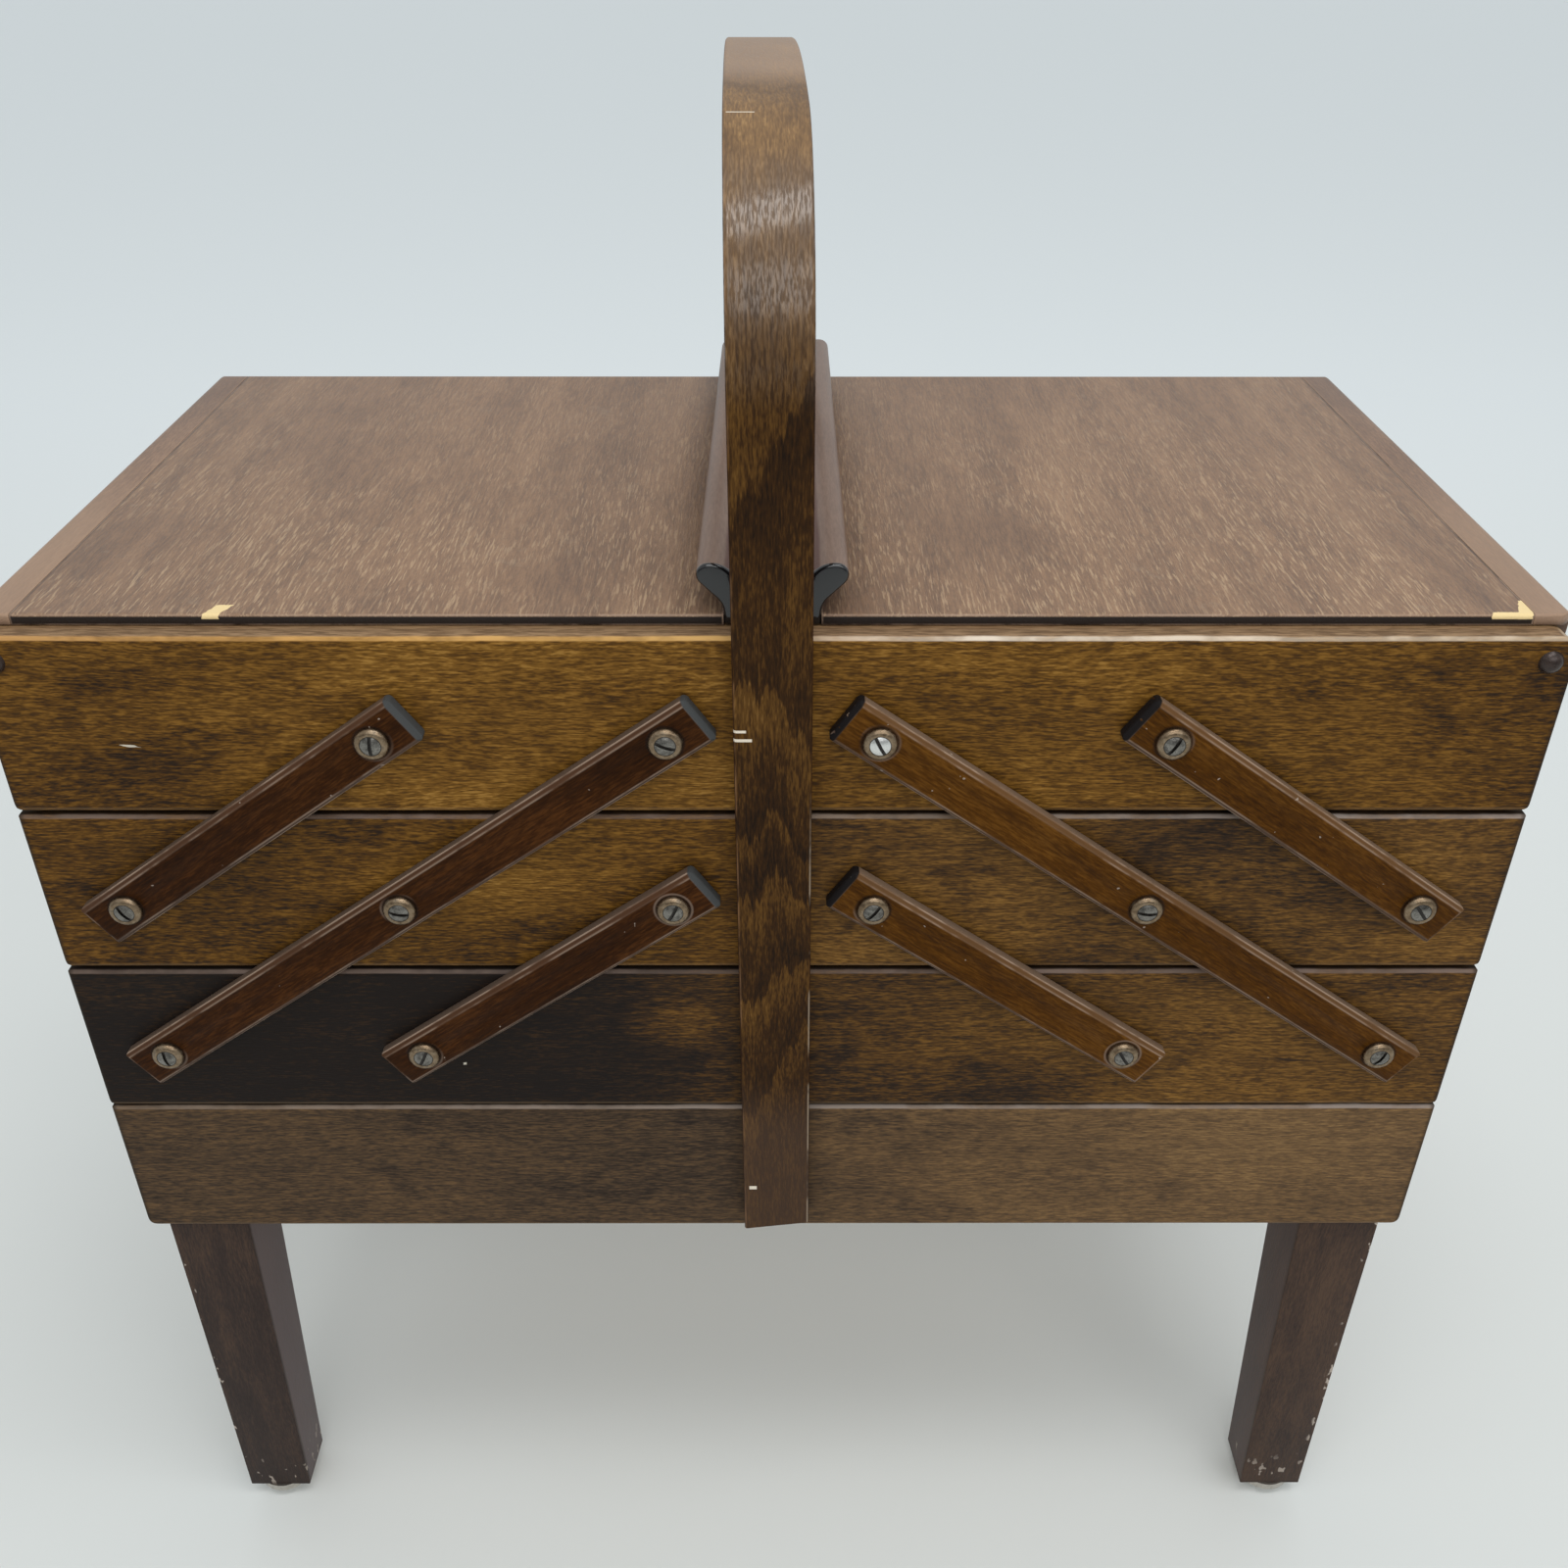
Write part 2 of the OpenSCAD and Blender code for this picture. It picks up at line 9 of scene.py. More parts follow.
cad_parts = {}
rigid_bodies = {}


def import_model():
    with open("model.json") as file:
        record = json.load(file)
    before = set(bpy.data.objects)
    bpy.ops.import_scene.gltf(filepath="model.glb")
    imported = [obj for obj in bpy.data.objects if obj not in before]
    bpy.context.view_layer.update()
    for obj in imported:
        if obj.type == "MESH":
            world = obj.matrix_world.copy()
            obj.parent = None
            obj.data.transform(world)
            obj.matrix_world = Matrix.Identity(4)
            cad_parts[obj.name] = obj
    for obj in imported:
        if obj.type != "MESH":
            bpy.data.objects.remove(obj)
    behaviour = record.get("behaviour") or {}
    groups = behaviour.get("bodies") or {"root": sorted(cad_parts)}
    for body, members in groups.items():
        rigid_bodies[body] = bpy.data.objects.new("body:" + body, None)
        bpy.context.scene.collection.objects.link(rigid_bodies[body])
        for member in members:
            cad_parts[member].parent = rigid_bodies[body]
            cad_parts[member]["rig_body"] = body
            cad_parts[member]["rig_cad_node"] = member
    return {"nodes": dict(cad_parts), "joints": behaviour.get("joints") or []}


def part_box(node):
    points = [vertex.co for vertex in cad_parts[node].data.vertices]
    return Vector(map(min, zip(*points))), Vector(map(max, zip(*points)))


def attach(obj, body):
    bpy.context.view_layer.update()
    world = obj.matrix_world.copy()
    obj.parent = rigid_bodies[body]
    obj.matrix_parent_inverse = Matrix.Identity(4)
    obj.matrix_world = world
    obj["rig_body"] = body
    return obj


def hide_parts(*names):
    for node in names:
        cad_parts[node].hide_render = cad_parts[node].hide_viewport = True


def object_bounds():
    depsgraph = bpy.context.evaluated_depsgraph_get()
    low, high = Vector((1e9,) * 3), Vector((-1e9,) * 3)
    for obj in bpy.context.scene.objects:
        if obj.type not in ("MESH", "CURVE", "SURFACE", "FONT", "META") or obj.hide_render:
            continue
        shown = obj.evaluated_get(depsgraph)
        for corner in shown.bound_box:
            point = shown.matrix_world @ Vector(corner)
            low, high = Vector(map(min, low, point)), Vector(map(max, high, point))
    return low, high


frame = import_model()
cadLow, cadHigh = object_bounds()
nodes = frame["nodes"]
joints = {joint["name"]: Vector(joint["pos_m"]) for joint in frame["joints"]}
sides = {"left": -1, "right": 1}
mm = 0.001
print("frame loaded:", len(nodes), "nodes")


# A number or colour that changes over a surface. Sums and products add Math nodes.
class Wire:
    def __init__(self, finish, socket):
        self.finish = finish
        self.socket = socket

    def __add__(self, other):
        return self.finish.math("ADD", self, other)

    def __radd__(self, other):
        return self.finish.math("ADD", other, self)

    def __sub__(self, other):
        return self.finish.math("SUBTRACT", self, other)

    def __rsub__(self, other):
        return self.finish.math("SUBTRACT", other, self)

    def __mul__(self, other):
        return self.finish.math("MULTIPLY", self, other)

    def __rmul__(self, other):
        return self.finish.math("MULTIPLY", other, self)

    def __truediv__(self, other):
        return self.finish.math("DIVIDE", self, other)

    def __abs__(self):
        return self.finish.math("ABSOLUTE", self)

    def least(self, other):
        return self.finish.math("MINIMUM", self, other)

    def most(self, other):
        return self.finish.math("MAXIMUM", self, other)

    def rises(self, low, high):
        # 0 below low, 1 above high, smooth between; the other way round if low is above high
        if low > high:
            return 1 - self.rises(high, low)
        return self.finish.add("ShaderNodeMapRange", {"interpolation_type": "SMOOTHSTEP"},
                               {0: self, 1: low, 2: high})

    def spread(self, width):
        # A pattern about 0.5 made stronger: -0.5 to 0.5, full at width from the middle
        return self.rises(0.5 - width, 0.5 + width) - 0.5

    def within(self, low, high, soft):
        # 1 from low to high, falling to 0 over the soft distance outside
        return self.rises(low - soft, low) * self.rises(high + soft, high)


# One material, or the world, and its nodes
class Finish:
    def __init__(self, name, owner=None, shader="Principled BSDF"):
        self.material = owner or bpy.data.materials.new(name)
        self.material.use_nodes = True
        self.tree = self.material.node_tree
        self.shader = self.tree.nodes[shader]

    def add(self, kind, settings=None, sockets=None, out=0):
        node = self.tree.nodes.new(kind)
        for key, value in (settings or {}).items():
            if key == "stops":
                self.setStops(node.color_ramp, value)
            else:
                setattr(node, key, value)
        for key, value in (sockets or {}).items():
            self.plug(node.inputs[key], value)
        return Wire(self, node.outputs[out])

    def setStops(self, ramp, stops):
        while len(ramp.elements) < len(stops):
            ramp.elements.new(1)
        for element, (position, colour) in zip(ramp.elements, stops):
            element.position = position
            element.color = (*colour, 1) if len(colour) == 3 else colour

    def plug(self, socket, value):
        if isinstance(value, Wire):
            self.tree.links.new(value.socket, socket)
        elif hasattr(value, "__len__") and len(socket.default_value) == 4:
            socket.default_value = (*value, 1)
        else:
            socket.default_value = value

    def math(self, operation, *values):
        return self.add("ShaderNodeMath", {"operation": operation}, dict(enumerate(values)))

    def place(self):
        return self.add("ShaderNodeTexCoord", out=3)

    def moved(self, vector, scale=(1, 1, 1), turn=(0, 0, 0), shift=(0, 0, 0)):
        return self.add("ShaderNodeMapping", None,
                        {"Vector": vector, "Scale": scale, "Rotation": turn, "Location": shift})

    def squared(self, value):
        return self.math("POWER", value, 2)

    def parts(self, vector):
        split = self.add("ShaderNodeSeparateXYZ", None, {0: vector}).socket.node
        return [Wire(self, split.outputs[i]) for i in range(3)]

    def join(self, x, y, z):
        return self.add("ShaderNodeCombineXYZ", None, {0: x, 1: y, 2: z})

    def sum(self, first, second):
        return self.add("ShaderNodeVectorMath", {"operation": "ADD"}, {0: first, 1: second})

    def noise(self, vector, scale, seed, detail=3, rough=0.55):
        spot = self.moved(vector, scale, shift=(seed * 7.3, seed * 3.1, seed * 5.7))
        return self.add("ShaderNodeTexNoise", None,
                        {"Vector": spot, "Scale": 1, "Detail": detail, "Roughness": rough})

    def ramp(self, factor, stops):
        return self.add("ShaderNodeValToRGB", {"stops": stops}, {0: factor})

    def grey(self, factor, stops):
        return self.ramp(factor, [(position, (value,) * 3) for position, value in stops])

    def mix(self, factor, first, second, blend="MIX"):
        return self.add("ShaderNodeMix", {"data_type": "RGBA", "blend_type": blend},
                        {0: factor, 6: first, 7: second}, out=2)

    def bump(self, height, distance):
        return self.add("ShaderNodeBump", None,
                        {"Strength": 1, "Distance": distance, "Height": height})

    def finishWith(self, colour, rough, normal=None, metal=None, coat=0, coatRough=0.1, shine=0.5):
        self.plug(self.shader.inputs["Base Color"], colour)
        self.plug(self.shader.inputs["Roughness"], rough)
        self.plug(self.shader.inputs["Coat Weight"], coat)
        self.shader.inputs["Specular IOR Level"].default_value = shine
        self.shader.inputs["Coat Roughness"].default_value = coatRough
        if normal is not None:
            self.plug(self.shader.inputs["Normal"], normal)
        if metal is not None:
            self.plug(self.shader.inputs["Metallic"], metal)
        return self.material


# The patterns that every wood here shares. Place has the grain along X, in metres.
def grainOf(finish, place, seed, sway=0.012):
    drift = finish.noise(place, (6, 26, 26), seed, 2)
    lift = (drift - 0.5) * sway
    bent = finish.sum(place, finish.join(0, lift, lift))
    return {
        "bent": bent,
        "streaks": finish.noise(bent, (150, 1300, 1300), seed + 1, 3, 0.6),
        "flecks": finish.noise(bent, (380, 2000, 2000), seed + 2, 1),
        "figure": finish.noise(bent, (24, 170, 170), seed + 3, 3, 0.6),
        "clouds": finish.noise(place, (13, 26, 26), seed + 4, 3, 0.6),
        "stains": finish.noise(place, (34, 60, 60), seed + 5, 4, 0.65),
    }


# The shared grain as one lighter and darker number about 0
def toneOf(grain, streaks=0.25, flecks=0.20, figure=0.07, clouds=0.15):
    fine = grain["streaks"].spread(0.15) * streaks + grain["flecks"].spread(0.16) * flecks
    return fine + grain["figure"].spread(0.18) * figure + grain["clouds"].spread(0.2) * clouds


# How far inside the nearest edge of its box a point on a board's surface lies
def edgeGap(finish, x, y, z, low, high):
    gaps = [(axis - lowest).least(highest - axis)
            for axis, lowest, highest in zip((x, y, z), low, high)]
    small = gaps[0].least(gaps[1])
    large = gaps[0].most(gaps[1])
    return small.most(large.least(gaps[2]))


# 1 on the side of a board away from its outward side, which is -1 or 1 along the axis
def facesIn(axis, low, high, outward):
    near, far = varnish["insideFrom"]
    return axis.rises(low + near, low + far) if outward < 0 else axis.rises(high - near, high - far)


# The boards: colours from dark to light, dust, worn edges with painted highlights and a painted reflection,
# painted shade in the gaps between rows, and the insides
varnish = {
    "stops": [(0, (0.010, 0.007, 0.006)), (0.25, (0.026, 0.013, 0.006)), (0.5, (0.090, 0.039, 0.006)),
              (0.75, (0.195, 0.090, 0.014)), (1, (0.380, 0.200, 0.045))],
    "dusty": (0.165, 0.112, 0.070),
    "dustyDark": (0.030, 0.019, 0.013),
    "wearAndSheen": (0.25, 0.155, 0.080),
    "bare": (0.29, 0.185, 0.105),
    "bareDark": (0.15, 0.090, 0.050),
    "gap": (0.010, 0.006, 0.004),
    "inside": (0.30, 0.18, 0.085),
    "insideDark": (0.19, 0.105, 0.048),
    "insideFrom": (4 * mm, 7.5 * mm),
    "outerEnd": (0.018, 0.012, 0.008),
    "nick": (0.62, 0.56, 0.46),
    "rough": 0.45,
    "shine": 0.09,
}


# A varnished board with its grain along X, and its tone given from end to end
def boardFinish(name, seed, tones, topEdgeHighlight, dust=0, patches=(), nicks=(), topFlat=0):
    low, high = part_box(name)
    finish = Finish(name + "_finish")
    place = finish.place()
    x, y, z = finish.parts(place)
    grain = grainOf(finish, place, seed)
    tone = finish.grey((x - low.x) / (high.x - low.x), tones) + toneOf(grain)
    tone = tone - grain["stains"].rises(0.54, 0.68) * 0.13
    for patch in patches:
        away = finish.math("SQRT", finish.squared((x - patch["x"]) / patch["width"])
                           + finish.squared((z - patch["z"]) / patch["height"]))
        tone = tone + (away + (grain["clouds"] - 0.5) * 1.6).rises(1.1, 0.3) * patch["shift"]
    colour = finish.ramp(tone, varnish["stops"])
    colour = finish.mix(dust, colour, finish.mix(0.5 + (tone - 0.45) * 1.2, varnish["dustyDark"],
                                                 varnish["dusty"]))
    for nick in nicks:
        off = abs(x - nick["x"] + (z - nick["z"]) * nick["tilt"]) / nick["wide"]
        off = off.most(abs(z - nick["z"]) / nick["high"]) + (grain["flecks"] - 0.5) * 1.5
        colour = finish.mix(off.rises(1, 0.7) * 0.9, colour, varnish["nick"])

    wavy = (grain["stains"] - 0.5) * 0.7 * mm
    rimHighlight = (high.z - z + wavy).within(0.6 * mm, 1.2 * mm, 0.4 * mm)
    flat = (high.z - z).rises(0.7 * mm, 0.3 * mm)
    bareTop = finish.mix(grain["streaks"].spread(0.15) + 0.5, varnish["bareDark"], varnish["bare"])
    # The flat top: bare wood on the top boards; on the lower boards it lies in the gap between rows and gets
    # painted shade
    colour = finish.mix(flat * 0.9, colour, bareTop if topFlat else varnish["gap"])
    # Painted highlight along the top arris, uneven with the stains
    colour = finish.mix(rimHighlight * (0.45 + grain["stains"].rises(0.4, 0.6) * 0.4), colour,
                        finish.ramp((x - low.x) / (high.x - low.x), topEdgeHighlight))
    # Painted reflection: a faint pale line on the lower rounding, where it faces the floor
    colour = finish.mix((z - low.z + wavy).within(1.1 * mm, 1.8 * mm, 0.5 * mm) * 0.25, colour,
                        varnish["wearAndSheen"])
    # Painted shade: the lowest millimetre, in the gap between rows, is dark
    colour = finish.mix((z - low.z).rises(1.0 * mm, 0.6 * mm) * 0.9, colour, varnish["gap"])
    outerEnd = (cadHigh.x - abs(x)).rises(2.2 * mm, 0.5 * mm)
    colour = finish.mix(outerEnd * 0.7, colour, varnish["outerEnd"])
    inner = facesIn(y, low.y, high.y, -1 if high.y < 0 else 1)
    inside = finish.mix(0.5 - toneOf(grain, 0.7, 0.4, 0.5, 0.7), varnish["inside"], varnish["insideDark"])
    colour = finish.mix(inner * 0.85, colour, inside)
    rough = varnish["rough"] + grain["streaks"] * 0.16 + inner * 0.2
    height = grain["streaks"] * 0.5 + grain["flecks"] * 0.5
    return finish.finishWith(colour, rough, finish.bump(height, 0.00016), shine=varnish["shine"])


# The painted highlight along a board's top arris, from its left end to its right
goldenRim = [(0, (0.50, 0.27, 0.10)), (0.5, (0.62, 0.34, 0.11)), (1, (0.68, 0.40, 0.14))]
whiteRim = [(0, (0.55, 0.38, 0.24)), (0.25, (0.80, 0.68, 0.55)), (1, (0.62, 0.48, 0.34))]
greyRim = [(0, (0.17, 0.12, 0.095)), (1, (0.19, 0.135, 0.11))]
paleRim = [(0, (0.24, 0.175, 0.13)), (0.6, (0.29, 0.235, 0.20)), (1, (0.35, 0.285, 0.25))]

# Tones run from the left end to the right. Patches and nicks are places on the board's face.
boards = {
    "left_top_front": {"seed": 3, "topEdgeHighlight": goldenRim, "topFlat": 1, "tones": [
        (0, 0.52), (0.10, 0.46), (0.22, 0.50), (0.35, 0.62), (0.5, 0.67), (0.7, 0.65), (0.85, 0.60),
        (1, 0.64)],
        "patches": [{"x": -186 * mm, "z": 384 * mm, "width": 22 * mm, "height": 9 * mm,
                     "shift": -0.14},
                    {"x": -176 * mm, "z": 356 * mm, "width": 26 * mm, "height": 9 * mm,
                     "shift": -0.10}],
        "nicks": [{"x": -182.7 * mm, "z": 362.9 * mm, "wide": 1.9 * mm, "high": 0.5 * mm,
                   "tilt": 2.2}]},
    "right_top_front": {"seed": 8, "topEdgeHighlight": whiteRim, "topFlat": 1, "tones": [
        (0, 0.56), (0.25, 0.60), (0.5, 0.61), (0.75, 0.53), (0.9, 0.44), (1, 0.36)],
        "nicks": [{"x": 5.5 * mm, "z": 390.5 * mm, "wide": 0.5 * mm, "high": 1.2 * mm, "tilt": 0}]},
    "left_mid_front": {"seed": 13, "topEdgeHighlight": greyRim, "tones": [
        (0, 0.44), (0.1, 0.42), (0.25, 0.44), (0.45, 0.48), (0.7, 0.52), (0.9, 0.53), (1, 0.48)],
        "patches": [{"x": -92 * mm, "z": 316 * mm, "width": 55 * mm, "height": 14 * mm,
                     "shift": 0.14}]},
    "right_mid_front": {"seed": 17, "topEdgeHighlight": paleRim, "dust": 0.12, "tones": [
        (0, 0.52), (0.1, 0.54), (0.3, 0.57), (0.45, 0.42), (0.6, 0.42), (0.8, 0.50), (1, 0.46)],
        "patches": [{"x": 196 * mm, "z": 322 * mm, "width": 24 * mm, "height": 14 * mm,
                     "shift": 0.16},
                    {"x": 205 * mm, "z": 292 * mm, "width": 26 * mm, "height": 10 * mm,
                     "shift": 0.14}]},
    "base_front_upper": {"seed": 23, "topEdgeHighlight": greyRim, "dust": 0.10, "tones": [
        (0, -0.02), (0.06, -0.1), (0.3, -0.08), (0.38, 0.08), (0.45, 0.27), (0.49, 0.28),
        (0.52, 0.34), (0.62, 0.41), (0.72, 0.47), (0.8, 0.53), (0.88, 0.54), (1, 0.52)],
        "nicks": [{"x": -100.8 * mm, "z": 242.7 * mm, "wide": 0.6 * mm, "high": 0.6 * mm,
                   "tilt": 0}],
        "patches": [{"x": -31 * mm, "z": 261 * mm, "width": 20 * mm, "height": 12 * mm,
                     "shift": 0.20},
                    {"x": -205 * mm, "z": 272 * mm, "width": 30 * mm, "height": 10 * mm,
                     "shift": 0.12},
                    {"x": 88 * mm, "z": 236 * mm, "width": 46 * mm, "height": 16 * mm,
                     "shift": -0.14}]},
    "base_front_lower": {"seed": 29, "topEdgeHighlight": paleRim, "dust": 0.55, "tones": [
        (0, 0.38), (0.1, 0.33), (0.3, 0.34), (0.47, 0.34), (0.55, 0.50), (0.7, 0.59), (0.85, 0.67),
        (1, 0.60)]},
    "left_top_back": {"seed": 33, "topEdgeHighlight": goldenRim, "topFlat": 1, "tones": [
        (0, 0.40), (0.2, 0.50), (0.5, 0.56), (0.8, 0.48), (1, 0.52)]},
    "right_top_back": {"seed": 37, "topEdgeHighlight": goldenRim, "topFlat": 1, "tones": [
        (0, 0.50), (0.3, 0.56), (0.6, 0.46), (0.85, 0.5), (1, 0.42)]},
    "left_mid_back": {"seed": 41, "topEdgeHighlight": greyRim, "tones": [
        (0, 0.46), (0.2, 0.42), (0.5, 0.52), (0.8, 0.56), (1, 0.5)]},
    "right_mid_back": {"seed": 47, "topEdgeHighlight": greyRim, "tones": [
        (0, 0.5), (0.25, 0.54), (0.5, 0.42), (0.8, 0.46), (1, 0.5)]},
    "base_back_upper": {"seed": 53, "topEdgeHighlight": greyRim, "dust": 0.1, "tones": [
        (0, 0.34), (0.2, 0.42), (0.45, 0.5), (0.55, 0.44), (0.75, 0.34), (1, 0.28)]},
    "base_back_lower": {"seed": 59, "topEdgeHighlight": paleRim, "dust": 0.4, "tones": [
        (0, 0.36), (0.25, 0.42), (0.5, 0.38), (0.8, 0.32), (1, 0.36)]},
}


# A board whose grain runs from front to back
def endFinish(name, seed, tone, rimWearAndSheen):
    low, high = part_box(name)
    finish = Finish(name + "_finish")
    place = finish.place()
    x, y, z = finish.parts(place)
    grain = grainOf(finish, finish.join(y, z, x), seed)
    colour = finish.ramp(tone + toneOf(grain), varnish["stops"])
    gap = edgeGap(finish, x, y, z, low, high) + (grain["stains"] - 0.5) * 3 * mm
    # Wear and painted highlight along the top edge, and fainter on every arris
    top = z.rises(high.z - 2.4 * mm, high.z - 0.5 * mm) * rimWearAndSheen
    colour = finish.mix(top.most(gap.rises(1.6 * mm, 0.3 * mm) * 0.35).least(1), colour, varnish["wearAndSheen"])
    leftOne = low.x < 0 if abs(low.x) > abs(high.x) else high.x < 0
    faceIn = facesIn(x, low.x, high.x, -1 if leftOne else 1)
    inside = finish.mix(0.5 - toneOf(grain, 0.7, 0.4, 0.5, 0.7), varnish["inside"], varnish["insideDark"])
    colour = finish.mix(faceIn * 0.85, colour, inside)
    rough = varnish["rough"] + grain["streaks"] * 0.16 + faceIn * 0.2
    height = grain["streaks"] * 0.5 + grain["flecks"] * 0.5
    return finish.finishWith(colour, rough, finish.bump(height, 0.00016), shine=varnish["shine"])


ply = {
    "stops": [(0.2, (0.235, 0.14, 0.066)), (0.5, (0.36, 0.235, 0.122)), (0.8, (0.44, 0.30, 0.17))],
    "stain": (0.17, 0.10, 0.055),
    "rough": 0.62,
    "shine": 0.3,
}


# Thin bare plywood
def plyFinish(name, seed):
    finish = Finish(name + "_finish")
    place = finish.place()
    grain = grainOf(finish, place, seed)
    tone = 0.5 + toneOf(grain, 0.3, 0.2, 0.3, 0.2)
    colour = finish.ramp(tone, ply["stops"])
    colour = finish.mix(grain["clouds"].rises(0.5, 0.8) * 0.25, colour, ply["stain"])
    return finish.finishWith(colour, ply["rough"] + grain["streaks"] * 0.12,
                             finish.bump(grain["streaks"], 0.00012), shine=ply["shine"])


# Chips are left, right, near and far in millimetres
lids = {
    "stops": [(0.1, (0.100, 0.060, 0.042)), (0.5, (0.225, 0.130, 0.076)), (0.9, (0.350, 0.210, 0.120))],
    "pale": (0.46, 0.31, 0.185),
    "edge": (0.016, 0.010, 0.008),
    "seam": (0.05, 0.03, 0.022),
    "speck": (0.06, 0.042, 0.034),
    "scuff": (0.30, 0.22, 0.15),
    "arris": (0.34, 0.23, 0.16),
    "under": (0.30, 0.185, 0.095),
    "underDark": (0.15, 0.085, 0.042),
    "chip": (0.82, 0.62, 0.31),
    "chips": {"left": [(-156.8, -152.4, -110, -103)],
              "right": [(204.5, 208.5, -110, -100), (197.5, 207, -110, -107.6)]},
    "pullShadowReach": 26 * mm,
    "shine": 0.35,
    "rough": 0.40,
}


# The lids: brown varnished plywood with fine pale flecks from front to back, chipped at the front, with a
# painted shadow beside the pull strip
def lidFinish(side):
    name = side + "_lid_panel"
    low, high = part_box(name)
    finish = Finish(name + "_finish")
    place = finish.place()
    x, y, z = finish.parts(place)
    seed = 61 if side == "left" else 67
    grain = grainOf(finish, finish.join(y, x, z), seed, 0.007)
    flecks = finish.noise(grain["bent"], (120, 1400, 1400), seed + 9, 2, 0.6)
    bands = finish.noise(grain["bent"], (2, 60, 60), seed + 11, 3)
    front = y.rises(0.08, -0.11)
    tone = 0.5 + toneOf(grain, 0.20, 0.12, 0.14, 0.12) + bands.spread(0.25) * 0.16
    # Painted shadow: the lid darker beside its pull strip
    tone = tone - abs(x).rises(lids["pullShadowReach"], 13 * mm) * 0.22
    colour = finish.ramp(tone, lids["stops"])
    pale = flecks.rises(0.52, 0.66) * (0.28 + front * 0.45) * grain["clouds"].rises(0.3, 0.55)
    colour = finish.mix(pale, colour, lids["pale"])
    colour = finish.mix(grain["flecks"].rises(0.56, 0.68) * 0.25, colour, lids["speck"])
    scuffs = finish.noise(place, (60, 60, 60), seed + 13, 4, 0.7)
    colour = finish.mix(scuffs.rises(0.62, 0.72) * 0.3, colour, lids["scuff"])
    gap = edgeGap(finish, x, y, z, low, high)
    seam = abs(x).rises(max(-low.x, high.x) - 1.2 * mm, max(-low.x, high.x) - 0.6 * mm)
    colour = finish.mix(seam * 0.7, colour, lids["seam"])
    colour = finish.mix((high.z - z).rises(0.5 * mm, 0.9 * mm), colour, lids["edge"])
    plain = finish.mix(0.5 + toneOf(grain, 0.5, 0.3, 0.35, 0.5), lids["underDark"], lids["under"])
    colour = finish.mix((z - low.z).rises(0.25 * mm, 0.1 * mm), colour, plain)
    arris = gap.rises(0.75 * mm, 0.25 * mm) * grain["stains"].rises(0.35, 0.55) * 0.7
    colour = finish.mix(arris, colour, lids["arris"])
    ragged = (finish.noise(place, (700, 700, 700), seed + 15, 2) - 0.5) * 1.2 * mm
    for left, right, near, far in lids["chips"][side]:
        chip = (x + ragged - (y - near * mm) * 0.4).within(left * mm, right * mm, 0.15 * mm)
        chip = chip * (y + ragged).within(near * mm, far * mm, 0.15 * mm)
        colour = finish.mix(chip * (high.z - z).rises(1.6 * mm, 1.2 * mm), colour, lids["chip"])
    rough = lids["rough"] + grain["streaks"] * 0.16
    height = grain["streaks"] * 0.4 + flecks * 0.6
    return finish.finishWith(colour, rough, finish.bump(height, 0.00018), shine=lids["shine"])


rails = {
    "stops": [(0.1, (0.120, 0.072, 0.050)), (0.5, (0.215, 0.128, 0.082)), (0.9, (0.320, 0.200, 0.128))],
    "front": (0.36, 0.235, 0.155),
    "back": (0.12, 0.075, 0.055),
    "wall": (0.045, 0.022, 0.013),
    "arris": (0.34, 0.21, 0.13),
    "rough": 0.38,
    "shine": 0.35,
}


# The rails along the outer ends of the lids: lighter to the front, dark on their walls
def railFinish(side):
    name = side + "_lid_rail"
    low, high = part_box(name)
    finish = Finish(name + "_finish")
    place = finish.place()
    x, y, z = finish.parts(place)
    grain = grainOf(finish, finish.join(y, x, z), 71 + sides[side] * 2)
    tone = 0.5 + toneOf(grain, 0.25, 0.15, 0.1, 0.25)
    colour = finish.ramp(tone, rails["stops"])
    colour = finish.mix(y.rises(0.02, -0.06) * 0.55, colour, rails["front"])
    colour = finish.mix(y.rises(0.02, 0.11) * 0.45, colour, rails["back"])
    colour = finish.mix((high.z - z).rises(1.2 * mm, 4 * mm) * 0.8, colour, rails["wall"])
    gap = edgeGap(finish, x, y, z, low, high)
    colour = finish.mix(gap.rises(1.0 * mm, 0.2 * mm) * 0.3, colour, rails["arris"])
    height = grain["streaks"] * 0.5 + grain["flecks"] * 0.4
    return finish.finishWith(colour, rails["rough"] + grain["streaks"] * 0.15,
                             finish.bump(height, 0.00013), shine=rails["shine"])


pulls = {
    "stops": [(0.1, (0.125, 0.080, 0.062)), (0.5, (0.190, 0.126, 0.096)), (0.9, (0.260, 0.176, 0.134))],
    "red": (0.075, 0.022, 0.016),
    "under": (0.03, 0.016, 0.012),
    "end": (0.006, 0.006, 0.007),
    "rough": 0.34,
    "shine": 0.15,
    "endCoatRough": 0.07,
}


